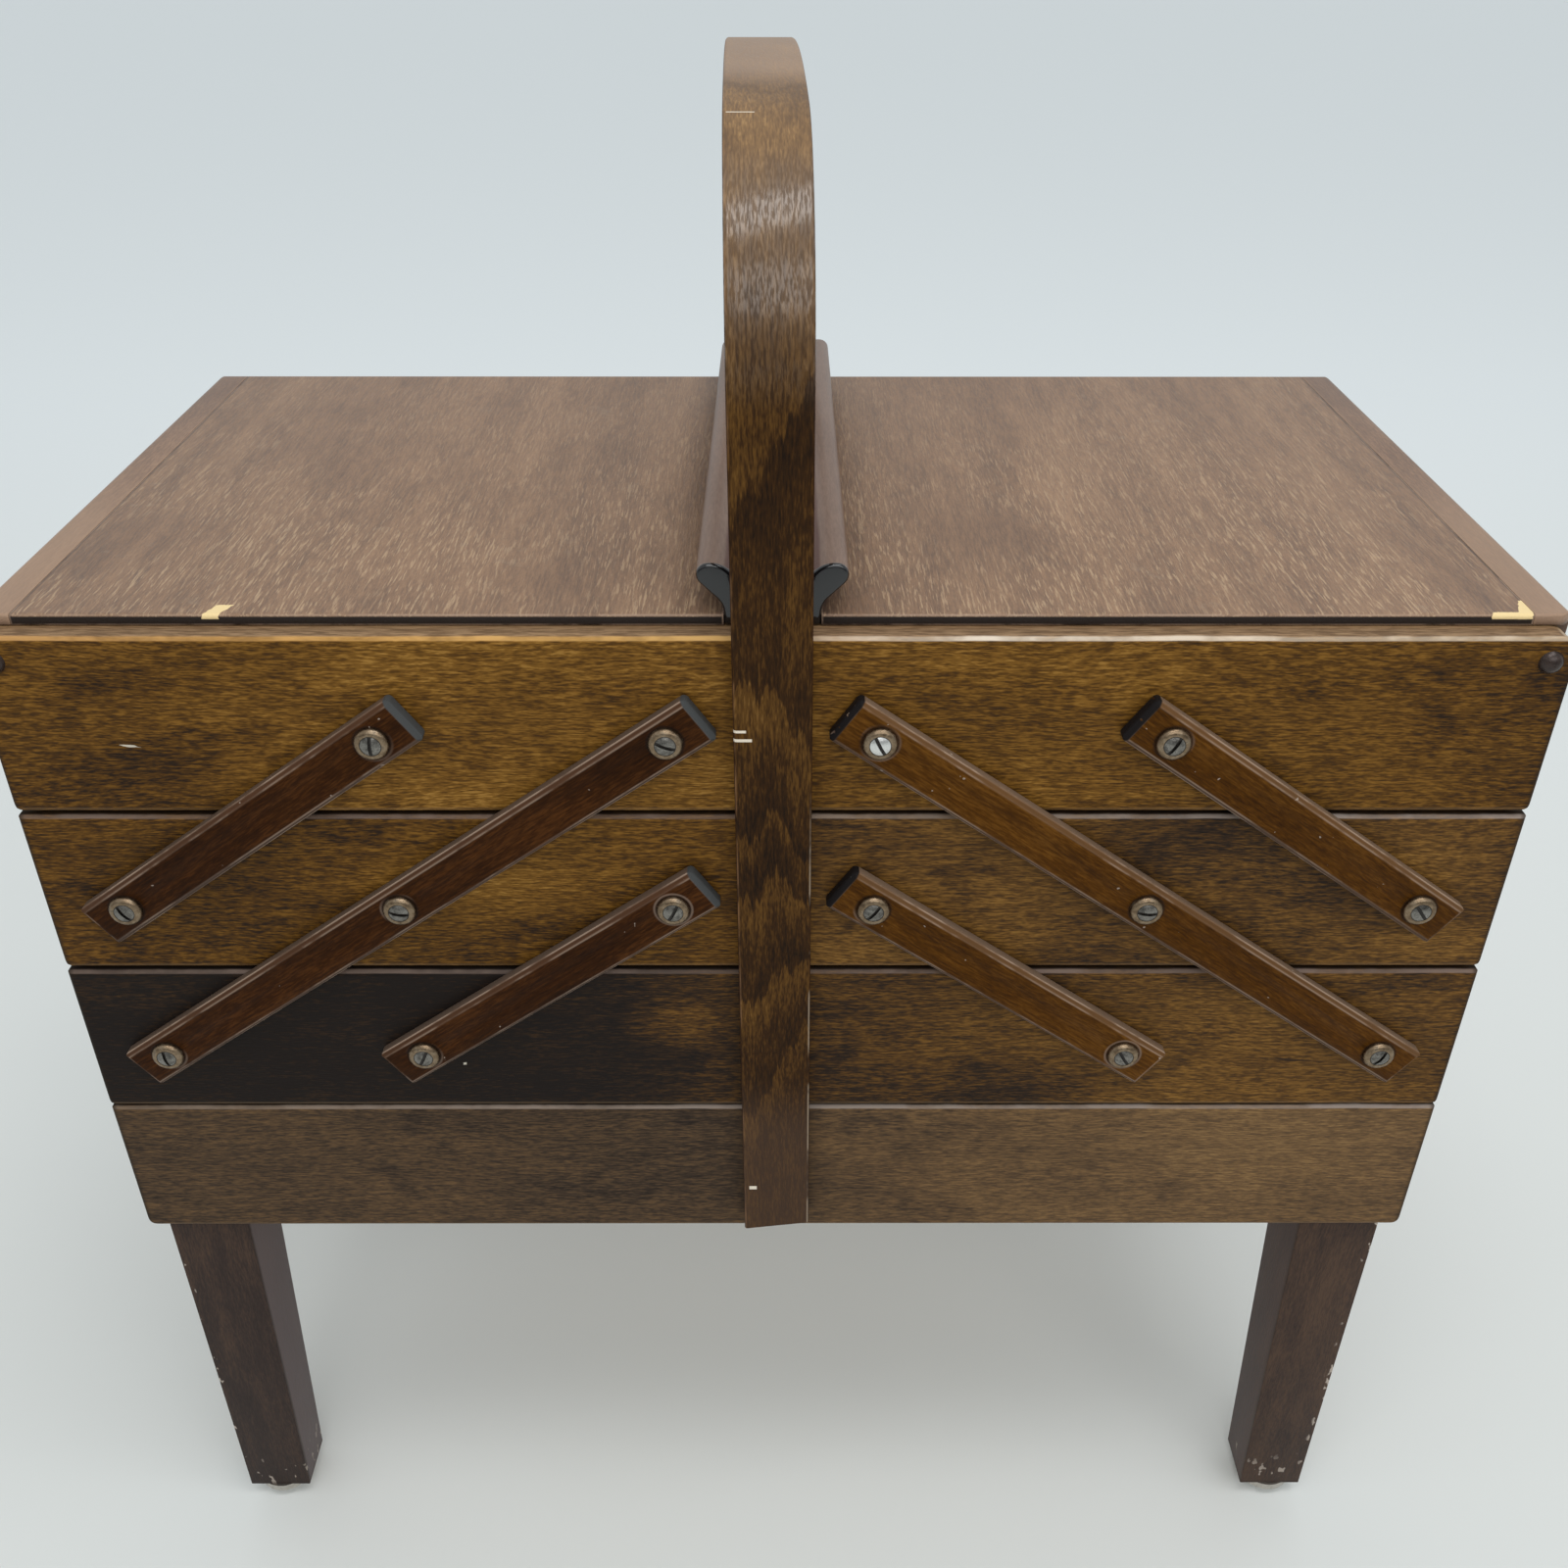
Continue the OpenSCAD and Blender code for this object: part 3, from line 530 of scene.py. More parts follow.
# The pull strips: even on top, with a thin red line along the valley, painted shade in the undercut, and
# black glossy ends
def pullFinish(side):
    name = side + "_lid_pull"
    low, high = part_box(name)
    finish = Finish(name + "_finish")
    place = finish.place()
    x, y, z = finish.parts(place)
    grain = grainOf(finish, finish.join(y, x, z), 81 + sides[side], 0.004)
    tone = 0.5 + toneOf(grain, 0.14, 0.10, 0.10, 0.16)
    colour = finish.ramp(tone, pulls["stops"])
    red = (abs(x) + (grain["clouds"] - 0.5) * 2 * mm).within(11.3 * mm, 12.4 * mm, 1.1 * mm)
    colour = finish.mix(red * y.rises(0.06, -0.09) * 0.7, colour, pulls["red"])
    # Painted shade: the undercut below the pull's lip is dark
    under = (high.z - z).rises(4.5 * mm, 7 * mm) * abs(x).rises(12 * mm, 13.4 * mm)
    colour = finish.mix(under * 0.8, colour, pulls["under"])
    ends = abs(y).rises(high.y - 1.6 * mm, high.y - 0.7 * mm)
    colour = finish.mix(ends, colour, pulls["end"])
    rough = pulls["rough"] + grain["streaks"] * 0.1 - ends * 0.22
    return finish.finishWith(colour, rough, finish.bump(grain["streaks"], 0.00005), coat=ends,
                             coatRough=pulls["endCoatRough"], shine=pulls["shine"])


# Half is half an arm's width, over its length past the end pivots, bevel the width of its bevels
slats = {
    "half": 7.75 * mm,
    "over": 12.5 * mm,
    "bevel": 1.3 * mm,
    "stops": {"left": [(0.1, (0.009, 0.003, 0.001)), (0.5, (0.032, 0.010, 0.002)),
                       (0.9, (0.085, 0.029, 0.006))],
              "right": [(0.1, (0.019, 0.006, 0.001)), (0.5, (0.068, 0.024, 0.002)),
                        (0.9, (0.150, 0.060, 0.008))]},
    "upperBevelSheen": {"left": (0.080, 0.038, 0.020), "right": (0.130, 0.066, 0.028)},
    "wall": {"left": (0.14, 0.10, 0.075), "right": (0.22, 0.155, 0.11)},
    "arris": (0.50, 0.37, 0.28),
    "low": (0.12, 0.085, 0.068),
    "end": {"left": (0.060, 0.062, 0.062), "right": (0.012, 0.010, 0.010)},
    "ring": (0.014, 0.009, 0.007),
    "halo": (0.30, 0.22, 0.17),
    "dot": (0.42, 0.34, 0.28),
    "rough": 0.34,
    "shine": 0.05,
}


# Mahogany slats, with painted reflection on their bevels and upper side walls and painted highlights along
# their arrises. The place is turned so that each arm lies along X from its first pivot.
def armFinish(side, kind, firstJoint, pivots, seed):
    reach = joints[side + "_mid_level"] - joints[side + "_fold"]
    angle = math.atan2(reach.z, abs(reach.x))
    pitch = reach.length
    start = joints[side + firstJoint]
    finish = Finish(f"{side}_{kind}_finish")
    flip = (-sides[side], 1, 1)
    turned = Matrix.Rotation(angle, 3, "Y") @ Vector((start.x * flip[0], 0, start.z))
    local = finish.moved(finish.place(), flip, (0, angle, 0), (-turned.x, 0, -turned.z))
    along, depth, across = finish.parts(local)
    grain = grainOf(finish, local, seed, 0.006)
    tone = 0.5 + toneOf(grain, 0.22, 0.14, 0.14, 0.20)
    colour = finish.ramp(tone, slats["stops"][side])

    half, over, bevel = slats["half"], slats["over"], slats["bevel"]
    length = pitch * (pivots - 1)
    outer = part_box(f"{side}_{kind}")[1].y
    back = outer - abs(depth)
    wearAndSheen = grain["stains"].rises(0.42, 0.56)
    inward = (half - abs(across)).least((along + over).least(length + over - along))
    slope = inward.rises(bevel + 0.5 * mm, bevel - 0.2 * mm) * back.rises(3 * mm, bevel)
    # Painted reflection: the upper bevel lighter and the lower bevel greyer
    colour = finish.mix(slope * across.rises(-1 * mm, 2 * mm) * 0.75, colour, slats["upperBevelSheen"][side])
    colour = finish.mix(slope * across.rises(-3 * mm, -5 * mm) * 0.6, colour, slats["low"])
    inner = (1 - abs(inward - bevel) / (0.45 * mm)).most(0) * back.rises(0.7 * mm, 0)
    # Painted highlights along the front and back arrises, stronger where worn
    colour = finish.mix(inner * (0.05 + wearAndSheen * 0.3), colour, slats["arris"])
    rimHighlight = (1 - abs(back - bevel) / (0.4 * mm)).most(0) * inward.rises(0.6 * mm, 0.2 * mm)
    colour = finish.mix(rimHighlight * (0.2 + wearAndSheen * 0.5), colour, slats["arris"])
    # Painted reflection: the upper side wall pale grey
    wall = back.rises(bevel, bevel + 0.5 * mm) * across.rises(half - 0.5 * mm, half - 0.1 * mm)
    colour = finish.mix(wall * 0.7, colour, slats["wall"][side])
    end = along.rises(length + over - bevel - 0.6 * mm, length + over - bevel)
    nicks = finish.noise(local, (420, 420, 420), seed + 17, 2).rises(0.68, 0.72)
    colour = finish.mix(end * (1 - nicks * 0.6), colour, slats["end"][side])

    ring = finish.math("SQRT", finish.squared(across) + finish.squared(along))
    for pivot in range(1, pivots):
        here = along - pitch * pivot
        ring = ring.least(finish.math("SQRT", finish.squared(across) + finish.squared(here)))
    colour = finish.mix(ring.rises(6.0 * mm, 5.1 * mm) * 0.7, colour, slats["ring"])
    halo = (1 - abs(ring - 5.7 * mm) / (0.55 * mm)).most(0) * grain["clouds"].rises(0.5, 0.6)
    colour = finish.mix(halo * 0.5, colour, slats["halo"])
    dots = finish.noise(local, (420, 420, 420), seed + 19, 1).rises(0.78, 0.80)
    colour = finish.mix(dots * 0.6, colour, slats["dot"])
    height = grain["streaks"] * 0.5 + grain["flecks"] * 0.3
    return finish.finishWith(colour, slats["rough"] + grain["streaks"] * 0.16,
                             finish.bump(height, 0.00013), shine=slats["shine"])


legs = {
    "stops": [(0.1, (0.015, 0.010, 0.009)), (0.5, (0.035, 0.022, 0.018)), (0.9, (0.078, 0.045, 0.029))],
    "tones": {"front_left": 0, "front_right": 0.16, "back_left": 0, "back_right": 0.08},
    "inner": {"front_left": 0.7, "front_right": 0.3, "back_left": 0.4, "back_right": 0.3},
    "paintedInnerLight": (0.150, 0.118, 0.118),
    "nick": (0.45, 0.38, 0.32),
    "foot": (0.022, 0.013, 0.010),
    "rough": 0.42,
    "shine": 0.12,
}


# A leg, with its grain upright: painted light on its inner face, nicked outside and at its foot
def legFinish(corner, seed):
    name = "leg_" + corner
    low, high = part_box(name)
    finish = Finish(name + "_finish")
    place = finish.place()
    x, y, z = finish.parts(place)
    grain = grainOf(finish, finish.join(z, x, y), seed)
    tone = 0.5 + toneOf(grain, 0.16, 0.14, 0.16, 0.2) + legs["tones"][corner]
    tone = tone + z.rises(0.11, 0.155) * 0.08
    colour = finish.ramp(tone, legs["stops"])
    behindFront = abs(y).rises(cadHigh.y - 12 * mm, cadHigh.y - 14 * mm)
    innerFace = abs(x).rises(cadHigh.x - 9 * mm, cadHigh.x - 14 * mm) * behindFront
    # Painted light: the inner face lighter, as though lit from the side and the floor
    colour = finish.mix(innerFace * legs["inner"][corner], colour, legs["paintedInnerLight"])
    nicks = finish.noise(place, (300, 300, 150), seed + 7, 2).rises(0.63, 0.67)
    gap = edgeGap(finish, x, y, z, low, high)
    outerEdge = (cadHigh.x - abs(x)).rises(9 * mm, 6 * mm) * gap.rises(3.2 * mm, 0.8 * mm)
    foot = z.rises(30 * mm, 14 * mm)
    colour = finish.mix(nicks * outerEdge.most(foot * 0.8) * 0.9, colour, legs["nick"])
    colour = finish.mix(z.rises(9.5 * mm, 7.6 * mm) * 0.5, colour, legs["foot"])
    height = grain["streaks"] * 0.5 + grain["flecks"] * 0.4
    return finish.finishWith(colour, legs["rough"] + grain["streaks"] * 0.16,
                             finish.bump(height, 0.00014), shine=legs["shine"])


# Where the handle's figure breaks from dark above to light below, or the other way round where
# the step is below 0: along the strip from the foot of the base, with its tilt and its hump
flames = [
    {"at": 285 * mm, "tilt": 1.65, "hump": 0, "step": -0.8, "reach": 46 * mm},
    {"at": 220 * mm, "tilt": -0.9, "hump": 0.8, "step": 1.0, "reach": 30 * mm},
    {"at": 177 * mm, "tilt": -0.3, "hump": 0.9, "step": 1.0, "reach": 14 * mm},
    {"at": 156 * mm, "tilt": 0.05, "hump": 0.75, "step": 1.0, "reach": 26 * mm},
    {"at": 118 * mm, "tilt": 1.0, "hump": 0.2, "step": 1.0, "reach": 26 * mm},
    {"at": 78 * mm, "tilt": 2.3, "hump": 0, "step": 0.8, "reach": 22 * mm},
    {"at": 650 * mm, "tilt": -1.2, "hump": 0.4, "step": 0.8, "reach": 34 * mm},
    {"at": 716 * mm, "tilt": 0.7, "hump": 0.8, "step": 1.0, "reach": 28 * mm},
    {"at": 762 * mm, "tilt": -0.4, "hump": 0.7, "step": 0.9, "reach": 24 * mm},
    {"at": 838 * mm, "tilt": 1.4, "hump": 0.2, "step": 0.9, "reach": 26 * mm},
]
# Scratches and nicks through the varnish: along the strip, across it, half length and half width
scrapes = [
    {"at": 206.3 * mm, "across": -9.2 * mm, "long": 1.6 * mm, "high": 0.35 * mm},
    {"at": 203.5 * mm, "across": -8.4 * mm, "long": 2.4 * mm, "high": 0.4 * mm},
    {"at": 27 * mm, "across": -7.9 * mm, "long": 1.1 * mm, "high": 0.7 * mm},
    {"at": 378 * mm, "across": -6.5 * mm, "long": 3.4 * mm, "high": 0.12 * mm},
]
hoopLook = {
    "stops": [(0, (0.012, 0.006, 0.003)), (0.3, (0.036, 0.015, 0.004)), (0.6, (0.105, 0.048, 0.010)),
              (0.85, (0.230, 0.120, 0.034)), (1, (0.40, 0.23, 0.08))],
    "bare": (0.75, 0.66, 0.54),
    "pale": (0.46, 0.36, 0.26),
    "crown": (0.25, 0.18, 0.13),
    "top": (0.42, 0.30, 0.22),
    "knot": (0.10, 0.065, 0.045),
    "foot": (0.085, 0.052, 0.036),
    "wornLeft": (0.32, 0.17, 0.085),
    "wall": (0.036, 0.012, 0.009),
    "shine": 0.07,
    "rough": 0.40,
    "coat": 1.0,
    "coatRough": 0.17,
}


# The handle's own coordinates lie in its strip attribute: along the hoop, across, and outwards
def handleFinish():
    finish = Finish("handle_finish")
    strip = finish.add("ShaderNodeAttribute", {"attribute_name": "strip"}, out=1)
    along, across, out = finish.parts(strip)
    grain = grainOf(finish, strip, 91, 0.004)
    teeth = (finish.noise(strip, (14, 520, 1), 95, 2) - 0.5) * 22 * mm
    teeth = teeth + (finish.noise(strip, (6, 120, 1), 96, 2) - 0.5) * 22 * mm
    tone = 0.36 + toneOf(grain, 0.19, 0.17, 0.08, 0.09)
    tone = tone - along.rises(240 * mm, 170 * mm) * 0.11 + along.rises(80 * mm, 50 * mm) * 0.04
    for flame in flames:
        line = across * flame["tilt"] - abs(across) * flame["hump"] + flame["at"]
        below = line + teeth - along
        light = below.rises(-0.2 * mm, 1.0 * mm) * below.rises(flame["reach"], 3 * mm)
        dark = below.rises(0.4 * mm, -0.8 * mm) * below.rises(-flame["reach"], -3 * mm)
        tone = tone + (light * 0.17 - dark * 0.10) * flame["step"]
    crown = along.rises(290 * mm, 360 * mm) * along.rises(625 * mm, 555 * mm)
    golden = finish.noise(strip, (28, 60, 1), 98, 3, 0.6)
    tone = tone + crown * (0.26 + golden.spread(0.15) * 0.22)
    tone = tone + across.rises(-4 * mm, -9 * mm) * 0.05
    colour = finish.ramp(tone, hoopLook["stops"])
    colour = finish.mix(crown * 0.38, colour, hoopLook["crown"])
    top = along.rises(392 * mm, 425 * mm) * along.rises(523 * mm, 490 * mm)
    colour = finish.mix(top * 0.5, colour, hoopLook["top"])
    knot = abs(along - 396 * mm - abs(across) * 0.5 + (golden - 0.5) * 30 * mm)
    colour = finish.mix(knot.rises(4 * mm, 0.5 * mm) * 0.3, colour, hoopLook["knot"])
    colour = finish.mix(along.rises(80 * mm, 50 * mm) * 0.45, colour, hoopLook["foot"])

    high = out.rises(hoop["thick"] - 0.7 * mm, hoop["thick"] - 0.2 * mm)
    rightEdge = across.rises(10.2 * mm, 10.7 * mm) * across.rises(11 * mm, 10.8 * mm)
    wornRight = rightEdge * high * along.rises(200 * mm, 150 * mm) * grain["stains"].rises(0.46, 0.58)
    colour = finish.mix(wornRight * 0.7, colour, hoopLook["pale"])
    wornLeft = across.rises(-10.2 * mm, -10.7 * mm) * high * grain["stains"].rises(0.42, 0.6)
    colour = finish.mix(wornLeft * 0.55, colour, hoopLook["wornLeft"])
    walls = abs(across).rises(10.75 * mm, 10.95 * mm)
    colour = finish.mix(walls * 0.8, colour, hoopLook["wall"])
    for scrape in scrapes:
        lengthwise = (along - scrape["at"]).within(-scrape["high"], scrape["high"], 0.12 * mm)
        crosswise = (across - scrape["across"]).within(-scrape["long"], scrape["long"], 0.3 * mm)
        colour = finish.mix(lengthwise * crosswise, colour, hoopLook["bare"])
    rough = hoopLook["rough"] + grain["streaks"] * 0.16
    height = grain["streaks"] * 0.6 + grain["flecks"] * 0.6
    varnished = along.within(312 * mm, 350 * mm, 16 * mm) + along.within(565 * mm, 603 * mm, 16 * mm)
    coat = varnished * (0.6 + grain["flecks"].spread(0.12) * 0.8) * hoopLook["coat"]
    return finish.finishWith(colour, rough, finish.bump(height, 0.00022), coat=coat,
                             coatRough=hoopLook["coatRough"], shine=hoopLook["shine"])


grimeAndShadeColour = (0.02, 0.016, 0.013)


# Dull, spotted metal. A head gets painted shade in its slot, whose bottom lies slot below its highest point,
# and in a thin ring at the foot of its head.
# Bright is the place and colour of one newer head at the front.
def metalFinish(name, stops, rough, metal, seed, grime, slot=0, bright=None):
    finish = Finish(name)
    place = finish.place()
    x, y, z = finish.parts(place)
    patches = finish.noise(place, (420, 420, 420), seed, 4, 0.6)
    scuffs = finish.noise(place, (2200, 2200, 2200), seed + 1, 3)
    colour = finish.ramp(patches * 0.75 + scuffs * 0.25, stops)
    if bright:
        away = finish.math("SQRT", finish.squared(x - bright["x"]) + finish.squared(z - bright["z"]))
        newer = away.rises(4 * mm, 3.6 * mm) * y.rises(0, -0.01)
        colour = finish.mix(newer, colour, bright["colour"])
    grimeAndSlotShade = patches.rises(0.56, 0.7) * grime
    # Painted shade in each screw's slot and round the foot of its head, in the grime colour
    if slot:
        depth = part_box("base_pivot_screws")[1].y - abs(y)
        grimeAndSlotShade = grimeAndSlotShade.most(depth.rises(slot - 0.2 * mm, slot - 0.05 * mm))
    colour = finish.mix(grimeAndSlotShade, colour, grimeAndShadeColour)
    return finish.finishWith(colour, rough + scuffs * 0.2, finish.bump(scuffs, 0.00005),
                             metal=metal - grimeAndSlotShade * 0.5)


metals = {
    "steel": {"stops": [(0.35, (0.08, 0.075, 0.068)), (0.6, (0.27, 0.255, 0.23))], "rough": 0.2,
              "metal": 1, "seed": 101, "grime": 0.7, "slot": 0.9 * mm,
              "bright": {"x": 30 * mm, "z": 367 * mm, "colour": (0.72, 0.72, 0.70)}},
    "zinc": {"stops": [(0.35, (0.20, 0.19, 0.17)), (0.6, (0.42, 0.40, 0.37))], "rough": 0.3,
             "metal": 1, "seed": 103, "grime": 0.4},
    "brass": {"stops": [(0.3, (0.10, 0.066, 0.040)), (0.5, (0.23, 0.165, 0.105)),
                        (0.7, (0.38, 0.295, 0.205))], "rough": 0.25, "metal": 1, "seed": 105,
              "grime": 0.6},
    "darkPin": {"stops": [(0.3, (0.022, 0.014, 0.012)), (0.7, (0.055, 0.034, 0.026))], "rough": 0.18,
                "metal": 0.4, "seed": 109, "grime": 0.3},
    "glide": {"stops": [(0.3, (0.40, 0.37, 0.33)), (0.7, (0.66, 0.62, 0.56))], "rough": 0.22,
              "metal": 1, "seed": 113, "grime": 0.35},
}


def clearSelection():
    for item in bpy.context.view_layer.objects:
        item.select_set(False)


# A finer copy of a CAD piece: its arrises rounded, its curves shaded smooth
def finerCopy(name, node, body, radius, segments=3, sharpest=35):
    clearSelection()
    piece = nodes[node].copy()
    piece.data = nodes[node].data.copy()
    piece.name = name
    piece.data.name = name
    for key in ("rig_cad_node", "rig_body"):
        if key in piece:
            del piece[key]
    bpy.context.scene.collection.objects.link(piece)
    piece.parent = None
    piece.select_set(True)
    bpy.context.view_layer.objects.active = piece
    bpy.ops.mesh.customdata_custom_splitnormals_clear()
    bpy.ops.object.mode_set(mode="EDIT")
    bpy.ops.mesh.select_all(action="SELECT")
    bpy.ops.mesh.remove_doubles(threshold=2e-6)
    bpy.ops.mesh.dissolve_limited(angle_limit=math.radians(0.5))
    bpy.ops.object.mode_set(mode="OBJECT")
    soften = piece.modifiers.new("soften", "BEVEL")
    soften.width = radius
    soften.segments = segments
    soften.limit_method = "ANGLE"
    soften.angle_limit = math.radians(sharpest)
    soften.use_clamp_overlap = True
    bpy.ops.object.modifier_apply(modifier="soften")
    bpy.ops.object.shade_smooth_by_angle(angle=math.radians(40))
    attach(piece, body)
    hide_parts(node)
    return piece


def paint(piece, material):
    piece.data.materials.clear()
    piece.data.materials.append(material)


# The bentwood hoop: one strip drawn up the front, round both bends and the crown, and down the back
hoop = {
    "width": 22 * mm,
    "thick": 7 * mm,
    "straightTop": 300.5 * mm,
    "bendRadius": 60 * mm,
    "crownRadius": 560 * mm,
    "round": 1.0 * mm,
    "fold": 296.5 * mm,
    "footX": 0.7 * mm,
    "frontLean": math.radians(0.2),
    "backLean": math.radians(1.3),
    "skew": math.radians(1.35),
    "sink": 0.03 * mm,
    "cut": math.radians(8),
    "foot": 8.2 * mm,
    "upSteps": 36,
    "bendSteps": 20,
    "crownSteps": 20,
}


def bendHandle():
    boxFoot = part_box("base_front_lower")[0].z
    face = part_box("base_front_lower")[0].y
    thick = hoop["thick"]
    outer = -face + thick
    bend = hoop["bendRadius"]
    bendY = outer - bend
    swing = math.asin(bendY / (hoop["crownRadius"] - bend))
    crownZ = hoop["straightTop"] - (hoop["crownRadius"] - bend) * math.cos(swing)
    start = hoop["foot"] - 4 * mm

    clearSelection()
    bpy.ops.mesh.primitive_plane_add(size=1, location=(0, -outer + thick / 2, start))
    piece = bpy.context.active_object
    piece.name = "handle_hoop"
    bpy.ops.object.transform_apply(location=True, rotation=True, scale=True)
    bpy.ops.object.mode_set(mode="EDIT")
    bpy.ops.mesh.select_all(action="SELECT")
    bpy.ops.transform.resize(value=(hoop["width"], thick, 1), center_override=(0, -outer + thick / 2, start))
    bpy.ops.mesh.bevel(offset=hoop["round"], segments=4, affect="VERTICES")
    rise = (hoop["straightTop"] - start) / hoop["upSteps"]
    for _ in range(hoop["upSteps"]):
        bpy.ops.mesh.extrude_region_move(TRANSFORM_OT_translate={"value": (0, 0, rise)})
    quarter = math.pi / 2 - swing
    turns = [(quarter, hoop["bendSteps"], (0, -bendY, hoop["straightTop"])),
             (2 * swing, hoop["crownSteps"], (0, 0, crownZ)),
             (quarter, hoop["bendSteps"], (0, bendY, hoop["straightTop"]))]
    for angle, steps, centre in turns:
        bpy.ops.mesh.spin(steps=steps, angle=angle, center=centre, axis=(1, 0, 0))
    for _ in range(hoop["upSteps"]):
        bpy.ops.mesh.extrude_region_move(TRANSFORM_OT_translate={"value": (0, 0, -rise)})
    bpy.ops.mesh.select_all(action="SELECT")
    bpy.ops.mesh.remove_doubles(threshold=1e-6)
    bpy.ops.mesh.normals_make_consistent(inside=False)
    bpy.ops.object.mode_set(mode="OBJECT")

    # Each point's place along the strip, across it and outwards from its inner face
    strip = piece.data.attributes.new("strip", "FLOAT_VECTOR", "POINT")
    straight = hoop["straightTop"]
    bendLength = quarter * bend
    crownLength = 2 * swing * hoop["crownRadius"]
    for vertex, value in zip(piece.data.vertices, strip.data):
        x, y, z = vertex.co
        if z <= straight + 1e-6:
            out = abs(y) - (outer - thick)
            along = z if y < 0 else 2 * straight + 2 * bendLength + crownLength - z
        else:
            fromCrown = math.atan2(y, z - crownZ)
            if abs(fromCrown) <= swing:
                out = math.hypot(y, z - crownZ) - (hoop["crownRadius"] - thick)
                along = straight + bendLength + (fromCrown + swing) * hoop["crownRadius"]
            else:
                turn = math.atan2(z - straight, abs(y) - bendY)
                out = math.hypot(abs(y) - bendY, z - straight) - (bend - thick)
                along = straight + turn * bend
                if y > 0:
                    along = 2 * straight + 2 * bendLength + crownLength - along
        value.vector = (along, x, out)

    # The hoop is a little askew: turned to the left towards the back, and leaned below the fold
    middleY = outer - thick / 2
    topX = hoop["footX"] - hoop["fold"] * math.tan(hoop["frontLean"])
    for vertex in piece.data.vertices:
        x, y, z = vertex.co
        lean = hoop["frontLean"] if y < 0 else hoop["backLean"]
        shift = topX - math.tan(hoop["skew"]) * (y + middleY)
        shift += max(0, hoop["fold"] - z) * math.tan(lean)
        vertex.co.x = x / math.cos(hoop["skew"]) + shift
    piece.data.transform(Matrix.Translation((0, 0, boxFoot - hoop["sink"])))
    bpy.ops.object.mode_set(mode="EDIT")
    bpy.ops.mesh.select_all(action="SELECT")
    bpy.ops.mesh.bisect(plane_co=(0, 0, boxFoot + hoop["foot"]),
                        plane_no=(-math.sin(hoop["cut"]), 0, math.cos(hoop["cut"])),
                        use_fill=True, clear_inner=True)
    bpy.ops.object.mode_set(mode="OBJECT")
    bpy.ops.object.shade_smooth_by_angle(angle=math.radians(40))
    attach(piece, "base")
    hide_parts("handle")
    return piece


paint(bendHandle(), handleFinish())
print("handle bent")

for name, look in boards.items():
    paint(nodes[name], boardFinish(name, **look))
print("boards finished")

# Seed, tone, and wear with a painted highlight along the top edge
ends = {
    "base_left_end_lower": (121, 0.36, 0.3), "base_left_end_upper": (127, 0.4, 0.35),
    "base_right_end_lower": (131, 0.42, 0.3), "base_right_end_upper": (137, 0.5, 0.35),
    "left_mid_outer_end": (139, 0.5, 0.4), "left_mid_inner_end": (149, 0.6, 0.5),
    "left_top_outer_end": (151, 0.5, 0.4), "left_top_inner_end": (157, 0.6, 0.6),
    "right_mid_outer_end": (163, 0.54, 0.4), "right_mid_inner_end": (167, 0.6, 0.5),
    "right_top_outer_end": (173, 0.52, 0.4), "right_top_inner_end": (179, 0.6, 0.6),
}
for name, (seed, tone, topWearAndSheen) in ends.items():
    paint(nodes[name], endFinish(name, seed, tone, topWearAndSheen))
for seed, name in enumerate(("base_bottom", "left_mid_bottom", "left_top_bottom", "right_mid_bottom",
                             "right_top_bottom")):
    paint(nodes[name], plyFinish(name, 181 + 3 * seed))
print("ends and bottoms finished")

for side in sides:
    lid = side + "_lid"
    paint(finerCopy(side + "_lid_top", side + "_lid_panel", lid, 0.3 * mm, 2), lidFinish(side))
    paint(finerCopy(side + "_hinge_rail", side + "_lid_rail", lid, 0.5 * mm, 3), railFinish(side))
    paint(finerCopy(side + "_pull_strip", side + "_lid_pull", lid, 1.0 * mm, 4, 50), pullFinish(side))
    armKinds = (("long_arms", "_fold", 3, 201), ("lower_arms", "_lower_arm_swing", 2, 207),
                ("upper_arms", "_upper_arm_swing", 2, 213))
    for kind, joint, pivots, seed in armKinds:
        piece = finerCopy(f"{side}_{kind}_slats", f"{side}_{kind}", f"{side}_{kind}", 0.35 * mm, 2)
        paint(piece, armFinish(side, kind, joint, pivots, seed + sides[side]))
print("lids and arms finished")

for seed, corner in enumerate(("front_left", "front_right", "back_left", "back_right")):
    piece = finerCopy("tapered_leg_" + corner, "leg_" + corner, "base", 1.5 * mm, 4)
    paint(piece, legFinish(corner, 221 + 5 * seed))
print("legs finished")

metalOf = {name: metalFinish(name + "_finish", **look) for name, look in metals.items()}
paint(nodes["inside_screws"], metalOf["zinc"])
for name in nodes:
    if name.endswith("pivot_screws"):
        paint(nodes[name], metalOf["steel"])
    if name.endswith("washers"):
        paint(nodes[name], metalOf["brass"])
    if name.endswith("pins"):
        paint(nodes[name], metalOf["darkPin"])
    if name.endswith("glides"):
        paint(nodes[name], metalOf["glide"])
print("metal finished")

# Floor, lights, world and camera
studio = {
    "floorSize": 30,
    "floorNear": (0.72, 0.735, 0.715),
    "floorFar": (0.84, 0.875, 0.885),
    "room": (0.70, 0.735, 0.75),
    "roomInFront": (0.16, 0.16, 0.16),
    "lights": {
        "ceilingLight": {"at": (0.2, -0.45, 1.9), "wide": 1.4, "deep": 0.4, "watts": 9},
        "frontLight": {"at": (0.45, -1.6, 1.6), "wide": 1.9, "deep": 0.8, "watts": 10},
    },
    "lightsAim": (0, 0, 0.3),
    "lens": 34.23,
    "sensor": 36,
    "eye": (0.0022, -0.4799, 0.5789),
    "down": math.radians(32.124),
    "yaw": math.radians(0.154),
    "roll": math.radians(0.071),
}


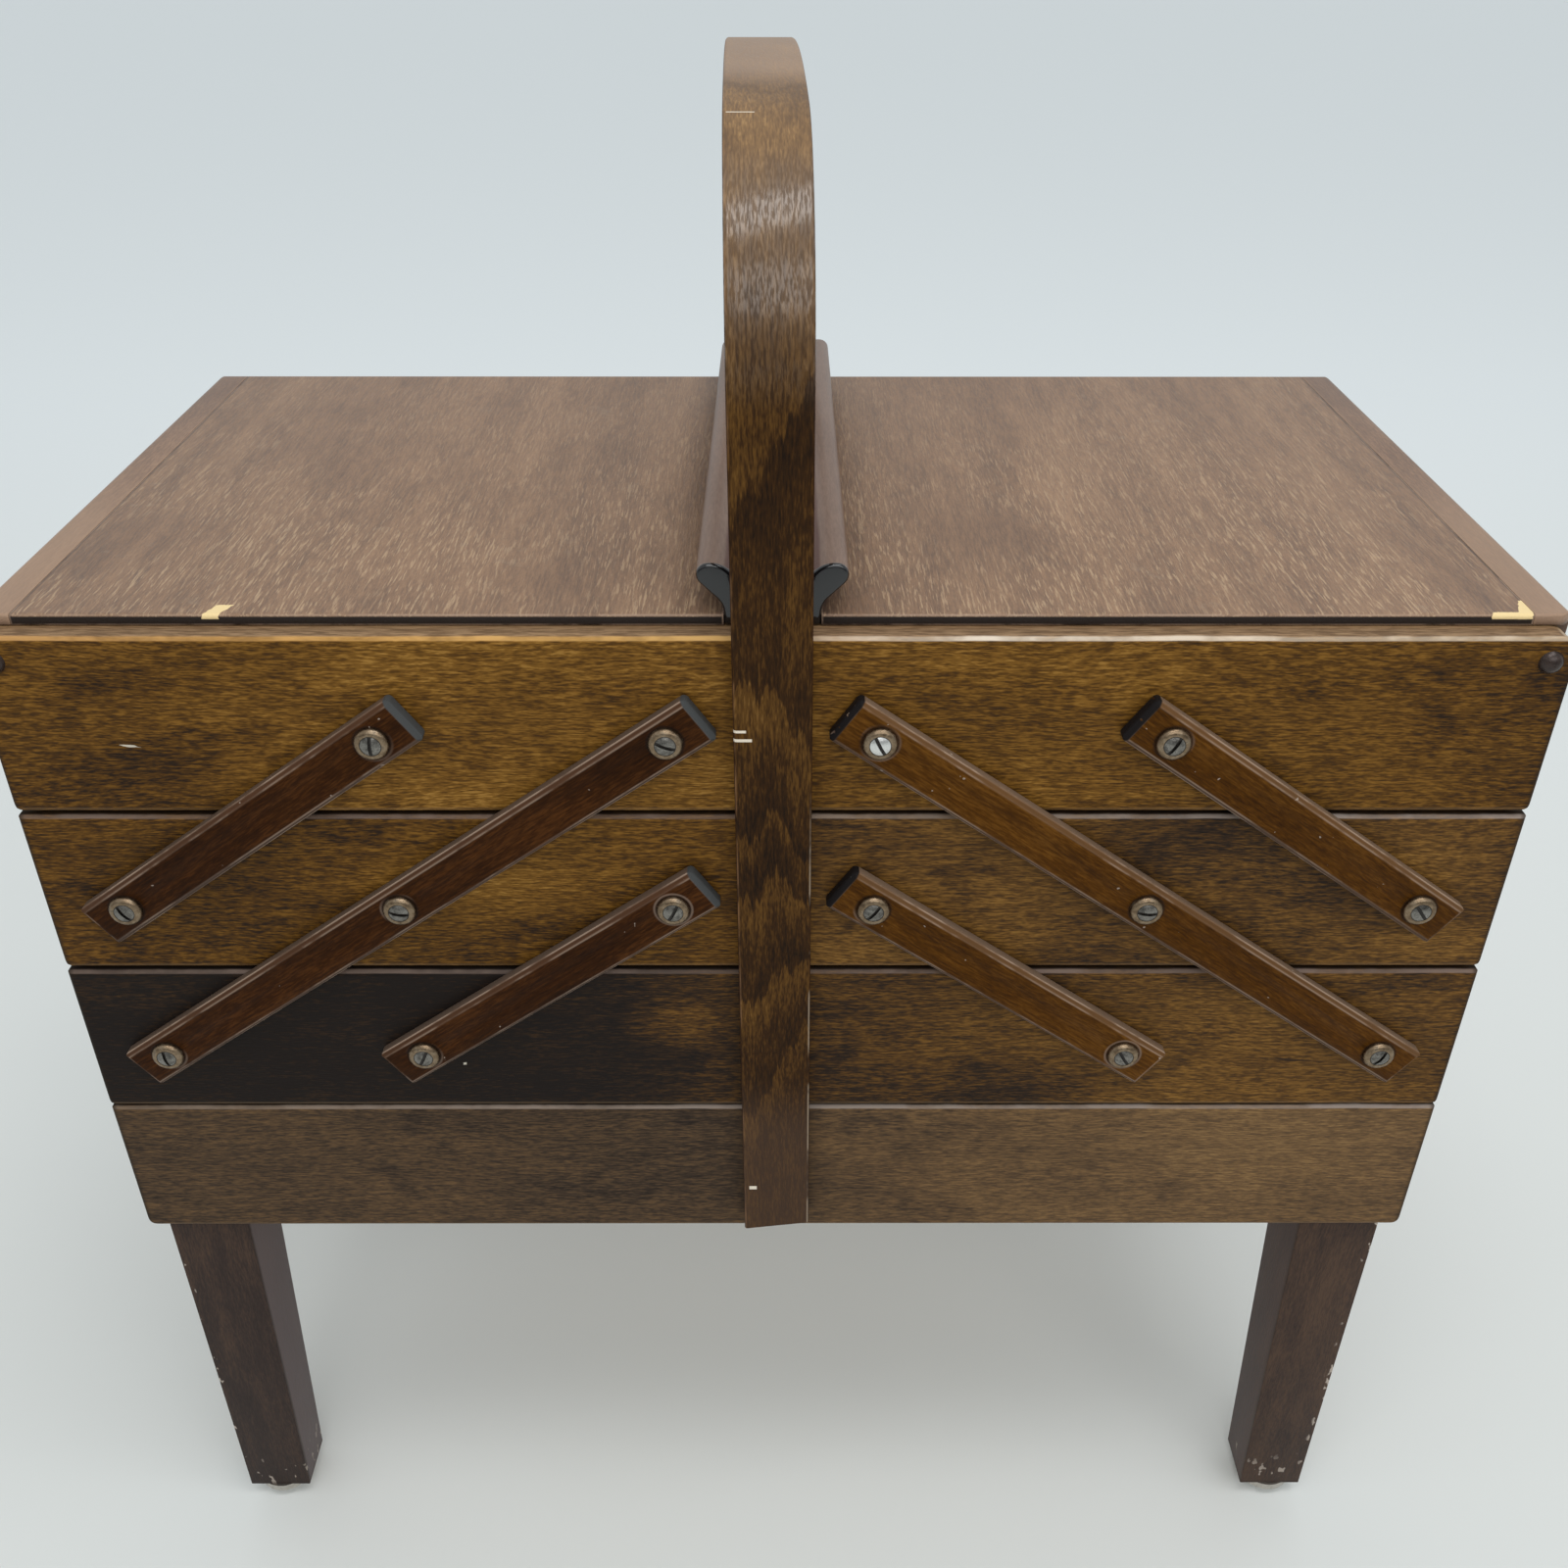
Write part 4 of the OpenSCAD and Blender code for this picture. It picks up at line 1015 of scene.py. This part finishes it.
def layFloor():
    clearSelection()
    bpy.ops.mesh.primitive_plane_add(size=studio["floorSize"], location=(0, 0, 0))
    floor = bpy.context.active_object
    floor.name = "floor"
    finish = Finish("floor_finish")
    y = finish.parts(finish.place())[1]
    colour = finish.mix(y.rises(-0.1, 1.5), studio["floorNear"], studio["floorFar"])
    finish.finishWith(colour, 0.75, shine=0.3)
    paint(floor, finish.material)


def hangLights():
    for name, look in studio["lights"].items():
        light = bpy.data.lights.new(name, "AREA")
        light.shape = "RECTANGLE"
        light.size = look["wide"]
        light.size_y = look["deep"]
        light.energy = look["watts"]
        lamp = bpy.data.objects.new(name, light)
        bpy.context.scene.collection.objects.link(lamp)
        lamp.location = look["at"]
        ahead = Vector(studio["lightsAim"]) - lamp.location
        lamp.rotation_euler = ahead.to_track_quat("-Z", "Y").to_euler()


# The room's light: even, but glossy surfaces see a darker room in front of the box
def openSky():
    sky = Finish("softRoom", bpy.data.worlds.new("softRoom"), "Background")
    bpy.context.scene.world = sky.material
    direction = sky.parts(sky.add("ShaderNodeTexCoord", out="Generated"))
    glossy = sky.add("ShaderNodeLightPath", out="Is Glossy Ray")
    ahead = direction[1].rises(0.1, -0.5) * direction[2].rises(0.4, 0.1)
    colour = sky.mix(glossy * ahead, studio["room"], studio["roomInFront"])
    sky.plug(sky.shader.inputs["Color"], colour)


def setCamera():
    down, yaw, roll = studio["down"], studio["yaw"], studio["roll"]
    ahead = Vector((math.sin(yaw) * math.cos(down), math.cos(yaw) * math.cos(down), -math.sin(down)))
    right = Vector((math.cos(yaw), -math.sin(yaw), 0))
    up = right.cross(ahead)
    turnedRight = right * math.cos(roll) + up * math.sin(roll)
    turnedUp = up * math.cos(roll) - right * math.sin(roll)
    camera = bpy.data.objects.new("camera", bpy.data.cameras.new("camera"))
    camera.data.lens = studio["lens"]
    camera.data.sensor_width = studio["sensor"]
    camera.data.clip_start = 0.01
    bpy.context.scene.collection.objects.link(camera)
    axes = Matrix((turnedRight, turnedUp, -ahead)).transposed().to_4x4()
    camera.matrix_world = Matrix.Translation(studio["eye"]) @ axes
    bpy.context.scene.camera = camera


layFloor()
hangLights()
openSky()
setCamera()
bpy.context.scene.view_settings.view_transform = "Standard"
print("studio set")
